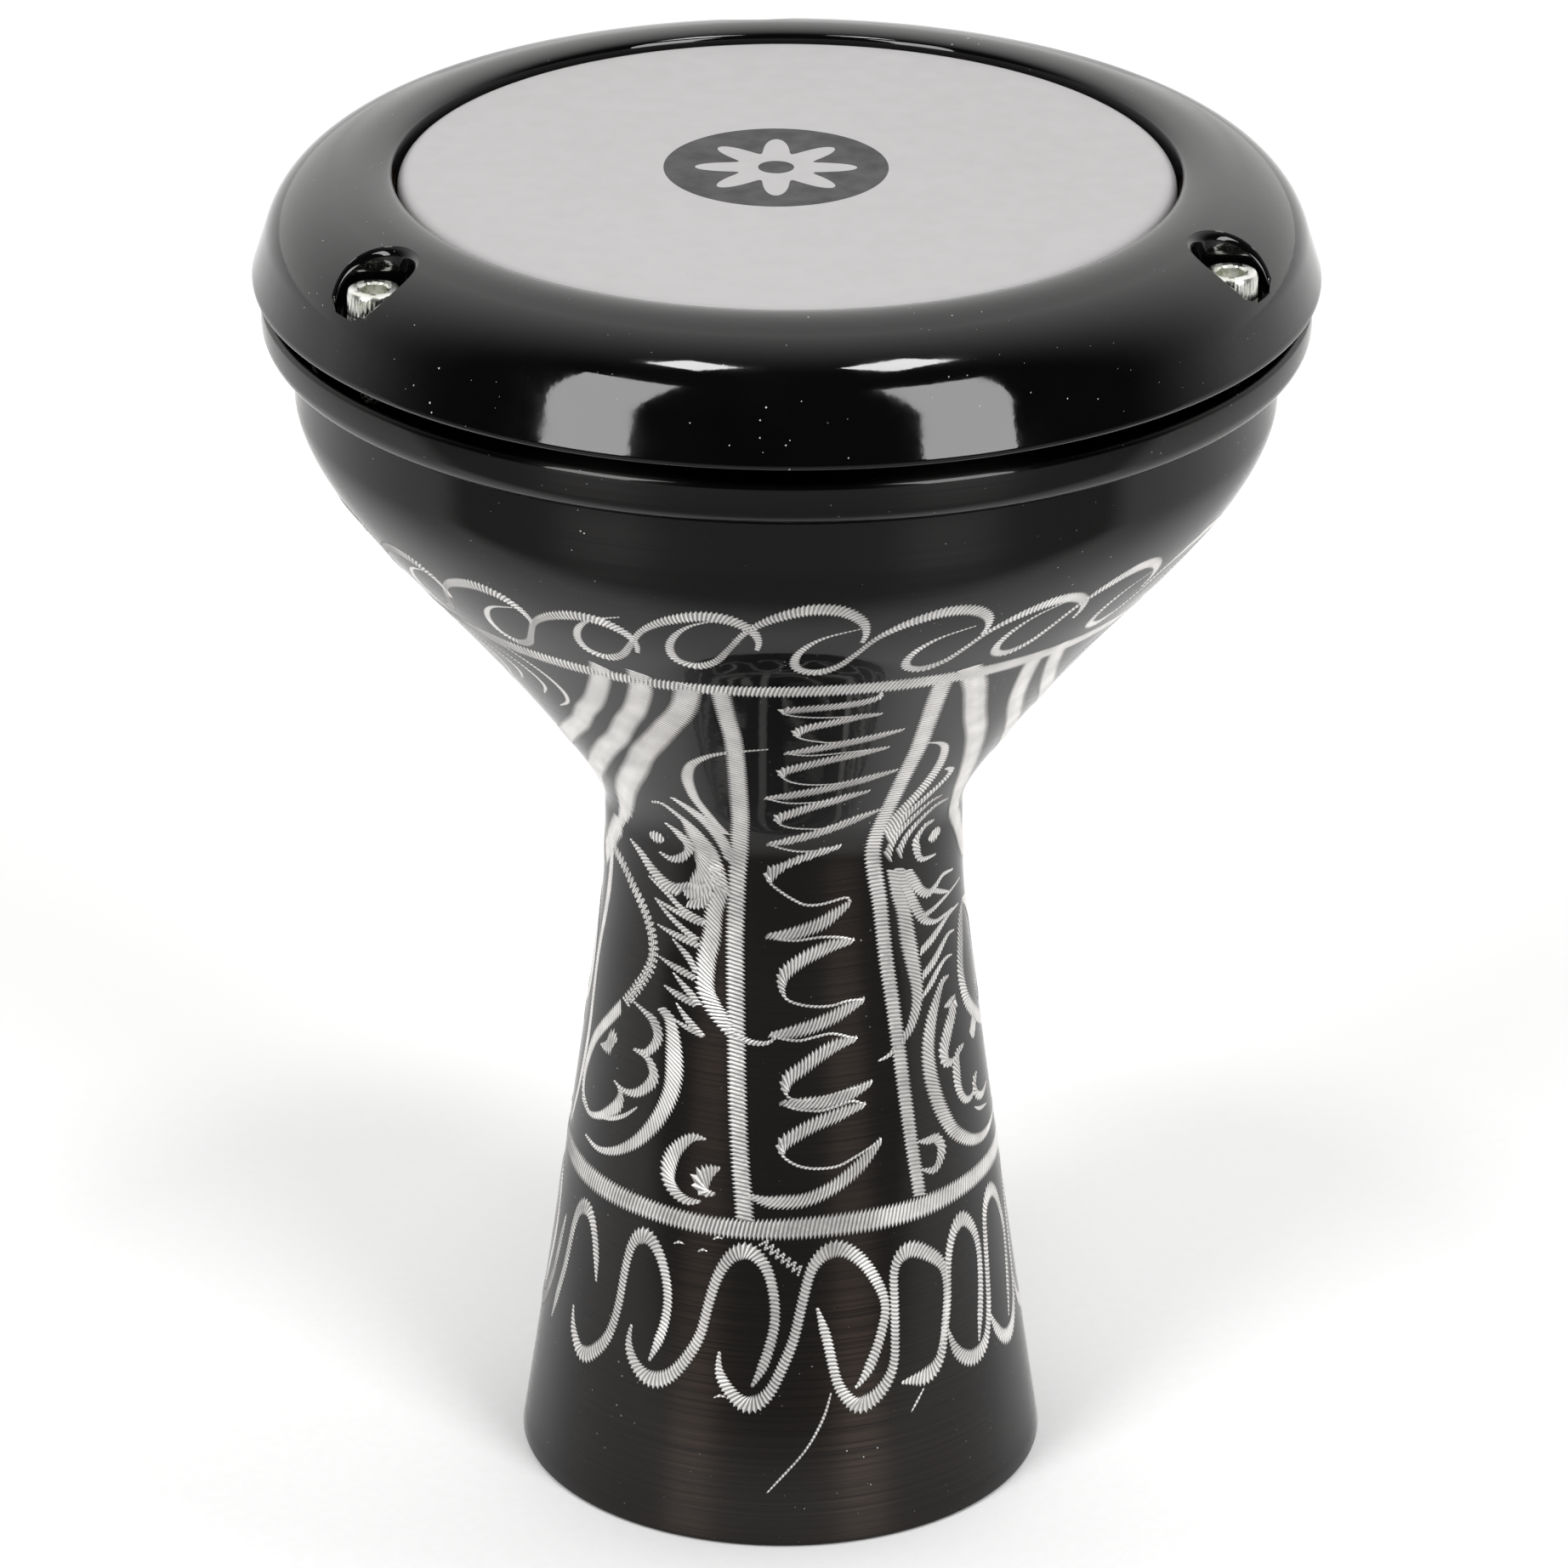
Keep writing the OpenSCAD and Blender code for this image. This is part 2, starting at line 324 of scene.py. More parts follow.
def boolean(obj, tool, operation):
    """Applies one boolean and removes the tool."""
    step = obj.modifiers.new(operation, "BOOLEAN")
    step.operation = operation
    step.solver = "EXACT"
    step.object = tool
    graph = bpy.context.evaluated_depsgraph_get()
    made = bpy.data.meshes.new_from_object(obj.evaluated_get(graph))
    obj.modifiers.clear()
    obj.data = made
    bpy.data.objects.remove(tool)


def joined(name, parts, materials):
    """One mesh from several lists of vertices and faces."""
    verts, faces = [], []
    for part_verts, part_faces in parts:
        faces += [tuple(i + len(verts) for i in face) for face in part_faces]
        verts += part_verts
    return mesh_object(name, verts, faces, materials)


def screw_place(node):
    """Axis of a screw, and the heights of its tip and its head's top."""
    low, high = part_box(node)
    middle = (low + high) / 2 / MM
    return (middle.x, middle.y), low.z / MM, high.z / MM


def clamped(point, limit):
    """A point drawn in to a radius about the drum's axis."""
    r = math.hypot(point[0], point[1])
    k = min(1, limit / r)
    return (point[0] * k, point[1] * k, point[2])


# ---------------------------------------------------------------- materials


def new_material(name, sockets):
    """A material whose shader has the same value all over in the given sockets."""
    made = bpy.data.materials.new(name)
    made.use_nodes = True
    for socket, value in sockets.items():
        shader_socket(made, socket).default_value = value
    return made


def shader_socket(made, name):
    return made.node_tree.nodes["Principled BSDF"].inputs[name]


def link(made, **sockets):
    """Links sockets of the shader, named with an underscore for a space."""
    for name, value in sockets.items():
        made.node_tree.links.new(value, shader_socket(made, name.replace("_", " ")))
    return made


def node(made, kind, inputs=None, **settings):
    """A node with its settings, its inputs set to a value or linked to a socket."""
    added = made.node_tree.nodes.new("ShaderNode" + kind)
    for key, value in settings.items():
        setattr(added, key, value)
    for key, value in (inputs or {}).items():
        if isinstance(value, bpy.types.NodeSocket):
            made.node_tree.links.new(value, added.inputs[key])
        else:
            added.inputs[key].default_value = value
    return added


def place(made, scale=(1, 1, 1)):
    """The point on the object, in metres, stretched by scale."""
    coordinate = node(made, "TexCoord").outputs["Object"]
    return node(made, "Mapping", {"Vector": coordinate, "Scale": scale}).outputs["Vector"]


def noise(made, scale, detail=4, stretch=(1, 1, 1), roughness=0.5):
    inputs = {"Vector": place(made, stretch), "Scale": scale, "Detail": detail,
              "Roughness": roughness}
    return node(made, "TexNoise", inputs).outputs["Fac"]


def spread(made, value, low, high, to_low=0, to_high=1, **how):
    """A value between low and high, mapped to between to_low and to_high and held there."""
    inputs = {"Value": value, "From Min": low, "From Max": high,
              "To Min": to_low, "To Max": to_high}
    return node(made, "MapRange", inputs, **how).outputs["Result"]


def maths(made, operation, a, b=0.0):
    return node(made, "Math", {0: a, 1: b}, operation=operation).outputs[0]


def mixed(made, factor, a, b):
    return node(made, "Mix", {0: factor, 6: a, 7: b}, data_type="RGBA").outputs[2]


def bump(made, height, distance, strength=0.5):
    inputs = {"Height": height, "Distance": distance, "Strength": strength}
    return node(made, "Bump", inputs).outputs["Normal"]


def grey(value, warm=0.0):
    return (value * (1 + warm), value, value * (1 - warm), 1)


def dust(made, scale, share):
    """1 on small scattered specks, 0 elsewhere."""
    cells = node(made, "TexVoronoi", {"Vector": place(made), "Scale": scale}).outputs["Distance"]
    patches = spread(made, noise(made, 45, 2), 0.5, 0.7, 0.4, 1.3)
    return maths(made, "LESS_THAN", cells, maths(made, "MULTIPLY", patches, share))


def ring_paint():
    """Black enamel: a light orange peel, fine scratches and settled dust."""
    made = new_material("ring_paint", {"Roughness": 0.05, "IOR": 1.5, "Specular IOR Level": 0.5})
    specks = dust(made, 400, 0.06)
    tone = mixed(made, spread(made, noise(made, 60), 0.3, 0.7), grey(0.0006), grey(0.0014))
    haze = spread(made, noise(made, 90, 8), 0.35, 0.75, 0.03, 0.11)
    peel = noise(made, 210, 3)
    lines = noise(made, 60, 2, (1, 1, 22))
    height = maths(made, "ADD", peel, maths(made, "MULTIPLY", lines, 0.25))
    return link(made, Base_Color=mixed(made, specks, tone, grey(0.45, 0.02)),
                Roughness=maths(made, "ADD", haze, maths(made, "MULTIPLY", specks, 0.5)),
                Normal=bump(made, height, 0.00004))


def shell_lacquer():
    """Dark translucent lacquer over aluminium that is brushed around the drum."""
    made = new_material("shell_lacquer", {
        "Metallic": 1.0, "Specular Tint": (0.2, 0.16, 0.13, 1), "Anisotropic": 1.0,
        "Anisotropic Rotation": 0.25, "Coat Weight": 0.8, "Coat Roughness": 0.04, "Coat IOR": 1.38})
    brushed = noise(made, 7, 6, (1, 1, 260), 0.7)
    broad = spread(made, noise(made, 9, 3), 0.35, 0.7)
    brown = mixed(made, broad, (0.015, 0.0108, 0.0084, 1), (0.031, 0.0222, 0.017, 1))
    tone = mixed(made, spread(made, brushed, 0.3, 0.75), (0.005, 0.004, 0.0034, 1), brown)
    height = node(made, "SeparateXYZ", {"Vector": place(made)}).outputs["Z"]
    tone = mixed(made, spread(made, height, 0.13, 0.19, 0, 0.85), tone, grey(0.009))
    return link(made, Base_Color=mixed(made, dust(made, 440, 0.06), tone, grey(0.4)),
                Roughness=spread(made, brushed, 0.25, 0.8, 0.24, 0.42),
                Tangent=node(made, "Tangent", direction_type="RADIAL", axis="Z").outputs["Tangent"],
                Normal=bump(made, brushed, 0.00003, 0.6),
                Coat_Normal=bump(made, noise(made, 170, 3), 0.00003))


def shell_inside():
    """As-cast aluminium under a thin dark paint."""
    made = new_material("shell_inside", {"Metallic": 0.35})
    grain = noise(made, 900, 6, roughness=0.65)
    cloudy = spread(made, noise(made, 30, 4), 0.35, 0.7)
    return link(made, Base_Color=mixed(made, cloudy, grey(0.018), grey(0.05, 0.04)),
                Roughness=spread(made, grain, 0.3, 0.7, 0.45, 0.8),
                Normal=bump(made, grain, 0.0003, 0.8))


def cut_aluminium(name, dark, light):
    """Bare aluminium where the graver has gone through the lacquer."""
    made = new_material(name, {"Metallic": 1.0})
    grain = noise(made, 2600, 3)
    tool = spread(made, noise(made, 160, 3), 0.3, 0.7)
    return link(made, Base_Color=mixed(made, tool, grey(dark, 0.02), grey(light, 0.02)),
                Roughness=spread(made, grain, 0.3, 0.7, 0.28, 0.6),
                Normal=bump(made, grain, 0.00008, 0.6))


def film_plastic():
    """Smooth coated polyester with a printed dark roundel that holds a plain eight-point star."""
    made = new_material("film", {"IOR": 1.5, "Specular IOR Level": 0.2, "Coat Weight": 0.06,
                                 "Coat Roughness": 0.2})
    split = node(made, "SeparateXYZ", {"Vector": place(made, (1000, 1000, 1000))}).outputs
    x = maths(made, "ADD", split["X"], -PRINT_CENTRE[0])
    y = maths(made, "ADD", split["Y"], -PRINT_CENTRE[1])
    squares = [maths(made, "MULTIPLY", side, side) for side in (x, y)]
    away = maths(made, "SQRT", maths(made, "ADD", *squares))
    turn = maths(made, "ARCTAN2", y, x)
    points = maths(made, "COSINE", maths(made, "MULTIPLY", turn, PRINT_POINTS))
    star_r = spread(made, points, -1, 1, PRINT_R * STAR_WAIST, PRINT_R * STAR_TIP)
    disc, star, eye = (maths(made, "LESS_THAN", away, r)
                       for r in (PRINT_R, star_r, PRINT_R * STAR_EYE))
    figure = maths(made, "SUBTRACT", star, eye)
    ink = maths(made, "MULTIPLY", disc, maths(made, "SUBTRACT", 1.0, figure))
    mottle = spread(made, noise(made, 35, 5), 0.3, 0.7)
    paper = mixed(made, mottle, (0.405, 0.396, 0.397, 1), (0.415, 0.407, 0.409, 1))
    paper = mixed(made, dust(made, 260, 0.03), paper, grey(0.25))
    return link(made, Base_Color=mixed(made, ink, paper, (0.016, 0.016, 0.018, 1)),
                Roughness=spread(made, noise(made, 220, 5), 0.3, 0.7, 0.3, 0.48),
                Normal=bump(made, noise(made, 1500, 3), 0.00002))


def hoop_aluminium():
    """Rolled aluminium channel."""
    made = new_material("hoop_aluminium", {"Metallic": 1.0, "Anisotropic": 0.5})
    rolled = noise(made, 8, 5, (1, 1, 200))
    bands = spread(made, rolled, 0.3, 0.7)
    return link(made, Base_Color=mixed(made, bands, grey(0.55), grey(0.75, 0.01)),
                Roughness=spread(made, rolled, 0.3, 0.7, 0.25, 0.5),
                Normal=bump(made, rolled, 0.00005))


def amber_resin():
    """Cast resin with its flow lines."""
    made = new_material("resin", {"Subsurface Weight": 0.3, "Subsurface Scale": 0.002, "IOR": 1.5})
    flow = noise(made, 120, 5)
    cloudy = spread(made, flow, 0.35, 0.7)
    return link(made, Base_Color=mixed(made, cloudy, (0.30, 0.17, 0.05, 1), (0.48, 0.32, 0.12, 1)),
                Roughness=spread(made, flow, 0.3, 0.7, 0.15, 0.4),
                Normal=bump(made, flow, 0.0002))


def zinc_plate():
    """Bright zinc with its faint yellow-green tint, and fine turning marks."""
    made = new_material("zinc", {"Metallic": 1.0})
    grain = noise(made, 700, 5, (1, 0.12, 1))
    tint = spread(made, noise(made, 260, 3), 0.35, 0.65)
    return link(made, Base_Color=mixed(made, tint, (0.74, 0.75, 0.66, 1), (0.86, 0.86, 0.84, 1)),
                Roughness=spread(made, grain, 0.3, 0.7, 0.16, 0.4),
                Normal=bump(made, grain, 0.00006, 0.7))


# ---------------------------------------------------------------- the drum's pieces


def make_shell(outer, inner):
    outline, inside_from = shell_outline()
    verts, faces, owner = revolved(outline)
    paints = [int(i >= inside_from) for i in owner]
    shell = mesh_object("drum_shell", verts, faces, [outer, inner], paints)
    bosses, holes = [], []
    for screw in SCREWS:
        centre = screw_place(screw)[0]
        boss = revolved([(0, CREASE_Z - 3), (SHANK_R + WALL, CREASE_Z - 3),
                         (SHANK_R + WALL, FLANGE_Z - 1), (0, FLANGE_Z - 1)], BOSS_SEGMENTS, centre)
        bosses.append(([clamped(p, BOWL_R - WALL / 2) for p in boss[0]], boss[1]))
        holes.append(revolved([(0, TAPPED_Z), (TAPPED_R, TAPPED_Z), (TAPPED_R, FLANGE_Z + 1),
                               (0, FLANGE_Z + 1)], BOSS_SEGMENTS, centre)[:2])
    boolean(shell, joined("bosses", bosses, [inner]), "UNION")
    boolean(shell, joined("tapped_holes", holes, [inner]), "DIFFERENCE")
    shell.data.set_sharp_from_angle(angle=math.radians(40))
    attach(shell, "shell")
    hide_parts("shell")


def make_ring(paint):
    """The ring, with its recesses' rims rounded over where they meet the crown."""
    verts, faces, _ = revolved(ring_outline(), RING_SEGMENTS)
    ring = mesh_object("ring_casting", verts, faces, [paint])
    crown = ring_top()
    bosses, cutters = [], []
    for screw in SCREWS:
        centre = screw_place(screw)[0]
        levels = [RING_Z + 0.2, RING_Z + 4, RING_Z + 8, RING_Z + 11, RING_Z + 13, RING_Z + 14.6]
        side = [(RECESS_R + 2.5, z) for z in levels]
        boss = revolved([(0, levels[0])] + side + [(0, levels[-1])], BOSS_SEGMENTS, centre)
        limits = {z: min(r for r, h in crown if h <= z + 2 and r > RING_R - 16) - 1.5
                  for z in levels}
        bosses.append(([clamped(p, limits[p[2]]) for p in boss[0]], boss[1]))
        flare = [(RECESS_R + ROUND_OVER * (1 - math.cos(math.radians(a))),
                  ROUND_OVER * (1 - math.sin(math.radians(a)))) for a in range(0, 71, 14)]
        bore = [(0, RING_Z - 2), (SHANK_HOLE_R, RING_Z - 2), (SHANK_HOLE_R, SEAT_Z),
                (SEAT_R, SEAT_Z), (SEAT_R, RECESS_Z), (RECESS_R, RECESS_Z)]
        verts, faces, _ = revolved(bore + [(r, -depth) for r, depth in flare]
                                   + [(flare[-1][0] + 0.3, 1), (0, 1)], RECESS_SEGMENTS, centre)
        verts = [p if p[2] > 1.5 else (p[0], p[1], p[2] + rim_height(crown, p)) for p in verts]
        cutters.append((verts, faces))
    boolean(ring, joined("bosses", bosses, [paint]), "UNION")
    boolean(ring, joined("recesses", cutters, [paint]), "DIFFERENCE")
    ring.data.set_sharp_from_angle(angle=math.radians(35))
    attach(ring, "ring")
    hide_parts("tension_ring")


def make_film(plastic):
    verts, faces, _ = revolved(film_outline())
    film = mesh_object("head_film", verts, faces, [plastic])
    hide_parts("drumhead_film")
    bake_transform(film)


def make_screw(name, node_name, body, zinc):
    """A socket screw: knurled head, chamfered hex socket and a right-handed thread."""
    centre, tip, top = screw_place(node_name)
    sides = 4 * KNURL_RIDGES
    crest_r = HEAD_R - KNURL_DEPTH
    rows = []

    def row(z, radius):
        turns = [2 * math.pi * k / sides for k in range(sides)]
        rows.append([(radius(t), t, z) for t in turns])

    def knurled(t):
        return HEAD_R - KNURL_DEPTH * abs(((t * KNURL_RIDGES / (2 * math.pi)) % 1) * 2 - 1)

    def socket(t):
        return HEX_AF / 2 / math.cos((t % (math.pi / 3)) - math.pi / 6)

    def threaded(z):
        crest = min(1, (SEAT_Z - z) / 0.8)
        taper = min(1, 0.55 + (z - tip) / 1.2)

        def radius(t):
            phase = abs(((z / THREAD_PITCH - t / (2 * math.pi)) % 1) * 2 - 1)
            cut = THREAD_DEPTH * min(1, max(0, phase * 1.35 - 0.12)) * crest
            return min(SHANK_R - cut, SHANK_R * taper)
        return radius

    step = THREAD_PITCH / 10
    count = round((SEAT_Z - tip) / step)
    row(tip, lambda t: SHANK_R * 0.5)
    for i in range(1, count):
        row(tip + i * step, threaded(tip + i * step))
    row(SEAT_Z, lambda t: SHANK_R)
    row(SEAT_Z, lambda t: HEAD_R - 0.45)
    row(SEAT_Z + 0.3, lambda t: crest_r)
    row(SEAT_Z + 0.5, knurled)
    row(top - 1.1, knurled)
    row(top - 0.75, lambda t: crest_r)
    row(top - 0.35, lambda t: crest_r - 0.05)
    row(top - 0.1, lambda t: crest_r - 0.22)
    row(top, lambda t: crest_r - 0.55)
    row(top, lambda t: HEX_AF / 2 + 0.62)
    row(top - 0.3, lambda t: socket(t) + 0.03)
    row(top - HEX_DEPTH, socket)
    row(top - HEX_DEPTH - 0.15, lambda t: 1.6)
    verts = [(centre[0] + r * math.cos(t), centre[1] + r * math.sin(t), z)
             for ring in rows for r, t, z in ring]
    faces = []
    for i in range(len(rows) - 1):
        for k in range(sides):
            m = (k + 1) % sides
            faces.append((i * sides + k, i * sides + m, (i + 1) * sides + m, (i + 1) * sides + k))
    ends = ((0, tip, 1), (len(rows) - 1, top - HEX_DEPTH - 0.5, -1))
    for i, z, way in ends:
        verts.append((*centre, z))
        for k in range(sides):
            m = (k + 1) % sides
            faces.append((i * sides + m, i * sides + k, len(verts) - 1)[::way])
    screw = mesh_object(name, verts, faces, [zinc], sharp=28, body=body)
    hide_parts(node_name)


# ---------------------------------------------------------------- the engraver's strokes
#
# Each stroke is a row of points: azimuth in degrees, height in mm and, where it is given,
# width in mm. Points without one take a width between their neighbours'.

# One loop of the upper chain
LOOP = (
    (5, 13.7, 0.3), (1, 11.7, 0.6), (-1.5, 8.7, 1.2), (-2.7, 5.2, 1.5), (-2.2, 2.2, 1.8),
    (0.3, 1.0, 2.2), (3, 2.7, 1.6), (5, 6.2, 1.2), (7, 10.2, 1.2), (9, 12.7, 1.6),
    (11.5, 14.7, 2.2), (15, 16.2, 2.6), (18.5, 15.7, 2.6), (21, 13.2, 2.0), (21.8, 10.2, 1.2),
    (21.5, 7.7, 0.8),
)
LOOP_HEIGHT = 16.2

# Long loops round the foot
LOWER_LOOPS = (
    ((-74, 30), (-72, 36), (-69.5, 43), (-68, 51), (-66, 56), (-63, 58), (-59, 57), (-55.5, 52),
     (-53.5, 45)),
    ((-62, 37), (-61, 33), (-58, 30), (-55, 28.8), (-51, 31), (-47, 35), (-45, 40), (-44, 45),
     (-43.5, 50), (-42, 56), (-39, 59), (-35, 58), (-31.5, 54), (-29.5, 48), (-30, 42), (-32, 37),
     (-33.5, 34)),
    ((-39.5, 40), (-40, 36), (-37, 32), (-32, 30.3), (-27, 32.5), (-23, 37), (-20, 42), (-18.5, 48),
     (-16, 55), (-12, 59.5), (-8, 60), (-4, 57), (-2, 52), (-1.5, 46), (-3, 40), (-5, 35.5),
     (-7, 32.5)),
    ((-15, 39), (-15, 35), (-12, 31), (-7.5, 28.5), (-3, 31), (0, 36), (3, 42), (4.5, 47), (6, 52),
     (8, 57), (12, 60), (16, 60), (21, 57), (25, 52), (27, 47), (25.5, 42), (23, 37), (20, 33),
     (18, 31.5)),
    ((9, 48.5), (11, 43), (12.5, 37), (14, 32), (17, 28.5), (19, 27.5), (24, 29.5), (28, 34),
     (29, 40), (29.5, 48), (30, 54), (33, 57), (37, 56.5), (42, 54), (45.5, 51), (46, 46),
     (44.5, 40), (43, 36), (41, 34)),
    ((30, 30.5), (34, 30.5), (38, 30.3), (42, 33), (44, 38), (46, 44), (47, 50), (49, 55),
     (53, 58.5), (57, 57), (60, 53), (60.5, 48), (59, 41), (57, 35), (56, 32)),
    ((45, 38), (47, 33), (50, 30.5), (54, 29.3), (59, 31), (62, 37), (63.5, 44), (64.5, 50),
     (66, 56), (70, 59), (75, 57), (78, 52), (79, 47), (76, 38), (73, 31)),
    ((62, 36), (65, 31), (69, 28), (74, 28), (79, 32), (82, 38), (84, 46), (86, 53), (90, 58),
     (94, 57), (97, 52), (98, 45), (96, 38), (94, 33)),
    ((82, 37), (84, 31), (88, 28), (93, 28.5), (98, 32), (102, 38), (104, 45), (106, 52)),
)

# Nested arcs between two panels
FANS = (
    ((-49, 190, 0.4), (-43, 185, 1), (-41, 180, 1.2), (-42.5, 176, 0.8), (-47, 173, 0.3)),
    ((-51, 187, 0.4), (-47, 183, 1), (-46, 179, 1), (-49, 175.5, 0.3)),
    ((-56, 187, 0.4), (-52, 183, 1), (-51.5, 180, 1), (-54, 177, 0.3)),
    ((-61, 187.5, 0.3), (-57.5, 183, 0.9), (-57, 179, 0.9), (-60, 175, 0.3)),
    ((-66, 188, 0.3), (-63, 182, 0.9), (-63, 176, 0.9), (-67, 171, 0.3)),
    ((-96, 188, 0.3), (-99, 182, 0.9), (-99, 176, 0.9), (-95, 171, 0.3)),
    ((-72, 187, 0.4), (-69, 181, 1.4), (-70, 174, 1.4), (-75, 168, 0.4)),
    ((-90, 187, 0.4), (-93, 181, 1.4), (-92, 174, 1.4), (-87, 168, 0.4)),
    ((-78, 186, 0.4), (-76, 179, 1.2), (-78, 172, 1), (-81, 166, 0.4)),
    ((-84, 186, 0.4), (-86, 179, 1.2), (-84, 172, 1), (-81, 165, 0.4)),
    ((-113, 190, 0.4), (-119, 185, 1), (-121, 180, 1.2), (-119.5, 176, 0.8), (-115, 173, 0.3)),
    ((-106, 187, 0.4), (-110, 183, 1), (-111, 179, 1), (-108, 175.5, 0.3)),
    ((-101, 187, 0.4), (-105, 183, 1), (-105.5, 180, 1), (-103, 177, 0.3)),
)

# Strokes in the field to the left of the panel
LEFT_LEAVES = (
    ((-3, 172, 0.4), (-9, 170.7), (-14, 169), (-18, 166.5, 1.4), (-20.5, 164), (-22.5, 160, 2.2),
     (-23, 156), (-22.5, 153), (-20, 148), (-17.5, 145, 1.6)),
    ((-30, 153, 1), (-26, 150.5, 2), (-22, 147, 2.5), (-18.5, 142, 2.5), (-17, 138, 2)),
    ((-39, 149.5, 0.6), (-35, 150, 1), (-31, 147.5), (-27, 144), (-24, 140), (-21.5, 136),
     (-20, 132, 3.5)),
    ((-38, 144.2, 0.6), (-34, 142.5, 1.8), (-31.5, 140, 2.5), (-33, 137.5), (-38, 136),
     (-43, 136.5, 0.5)),
    ((-58, 136, 0.4), (-52, 134.5, 1.6), (-46, 132, 2.2), (-40, 130.2), (-34, 129.8, 2.4)),
    ((-36, 130.5, 1.2), (-30, 131.5, 2), (-25, 133, 1.6)),
    ((-32, 127.5, 1.2), (-27, 128.5, 2), (-23, 131, 1.6)),
    ((-48, 130.5, 0.4), (-40, 128.5, 1), (-34, 126.3, 1.2), (-26, 124.5, 1.6)),
    ((-45, 126.5, 0.3), (-38, 125.6, 0.9), (-30, 124.6, 1.2), (-25.5, 124.4, 1.4)),
    ((-45, 126.5, 0.3), (-40, 124.5, 0.9), (-34, 122.4, 1.2), (-28, 120.6, 1.4)),
    ((-19, 133, 3), (-22, 128), (-23, 122), (-24.5, 117, 3.6), (-24.5, 112), (-22.5, 109),
     (-19, 106, 3), (-15.5, 103.5), (-10.5, 102, 1.2), (-5, 101.8), (-2, 103, 0.4)),
    ((-43.5, 121.3, 0.3), (-34, 120.3, 1.4), (-27, 119.5, 1.2)),
    ((-37, 119.5, 0.3), (-31, 116.8, 1.4), (-28, 114, 1)),
    ((-42, 115, 0.3), (-34, 113.8, 1.4), (-28, 112.8, 1.2)),
    ((-36, 112.8, 0.3), (-30, 110, 1.4), (-26, 107.8, 1)),
    ((-39, 109.7, 0.3), (-33, 108.6, 1.4), (-27, 107.6, 1.2)),
    ((-34, 107, 0.3), (-29, 104, 1.4), (-24, 101.7, 0.8)),
    ((-24, 101.7, 0.8), (-29, 102.6, 1), (-35, 103.8, 0.3)),
    ((-39.5, 105, 1.5), (-36, 103.5), (-34, 100), (-33, 95, 3.6), (-33.3, 90), (-35, 86),
     (-38, 82, 2.8), (-43, 77.5), (-49, 74, 1.8), (-55, 71.8), (-61, 70.8), (-68, 71.2, 0.6)),
    ((-52, 104, 0.4), (-46, 103, 1), (-42, 102, 1.8), (-40, 100, 2.4), (-40.5, 97.5),
     (-44, 95, 1.4), (-49, 94.6, 0.5)),
    ((-49, 94.6, 0.5), (-45, 94.5, 0.8), (-41.5, 93.5, 1.6), (-40, 91, 2.4), (-42, 88.5),
     (-46, 86.3, 1.6), (-51, 85.5), (-56, 86.2, 0.4)),
    ((-56, 86.2, 0.4), (-53.5, 85.5, 0.8), (-52, 84, 1.6), (-53, 82, 2.6), (-57, 79.5),
     (-62, 77.2, 1.4), (-68, 76), (-75, 77, 0.5)),
    ((-45, 83.5, 0.3), (-50, 80.5, 0.8), (-56, 78.3, 0.8), (-62, 77, 0.3)),
    ((-57, 101.3, 2.2), (-62, 97.6), (-66.5, 94.3), (-71, 90.5, 2.2), (-74, 86), (-75.5, 81.5),
     (-74, 78, 1.6), (-69, 76.2, 1)),
    ((-71.5, 133, 1.4), (-73.5, 124, 2.4), (-76.5, 115), (-78.3, 107, 2), (-78, 100), (-77, 93),
     (-77.5, 86, 1.8), (-80, 77), (-84, 69, 1)),
    ((-30, 146, 1), (-26.5, 142, 4), (-24.5, 137.5, 5), (-26, 133.5, 5.5), (-30, 131, 4),
     (-33, 129.8, 1)),
    ((-66, 91, 0.3), (-62.5, 91.7, 2), (-59.5, 93.5, 3.6), (-57, 94.3, 0.6)),
    ((-21.5, 81.3, 0.3), (-25.5, 81, 1.6), (-29.5, 78.5), (-32, 75, 3.2), (-32.3, 72), (-30, 69.5),
     (-26, 68.2, 1.6), (-22, 68.6, 0.5)),
    ((-17, 76, 0.4), (-20, 74.5, 2.6), (-22, 72.3, 4), (-21, 70.6, 2), (-18, 70.6, 0.5)),
)

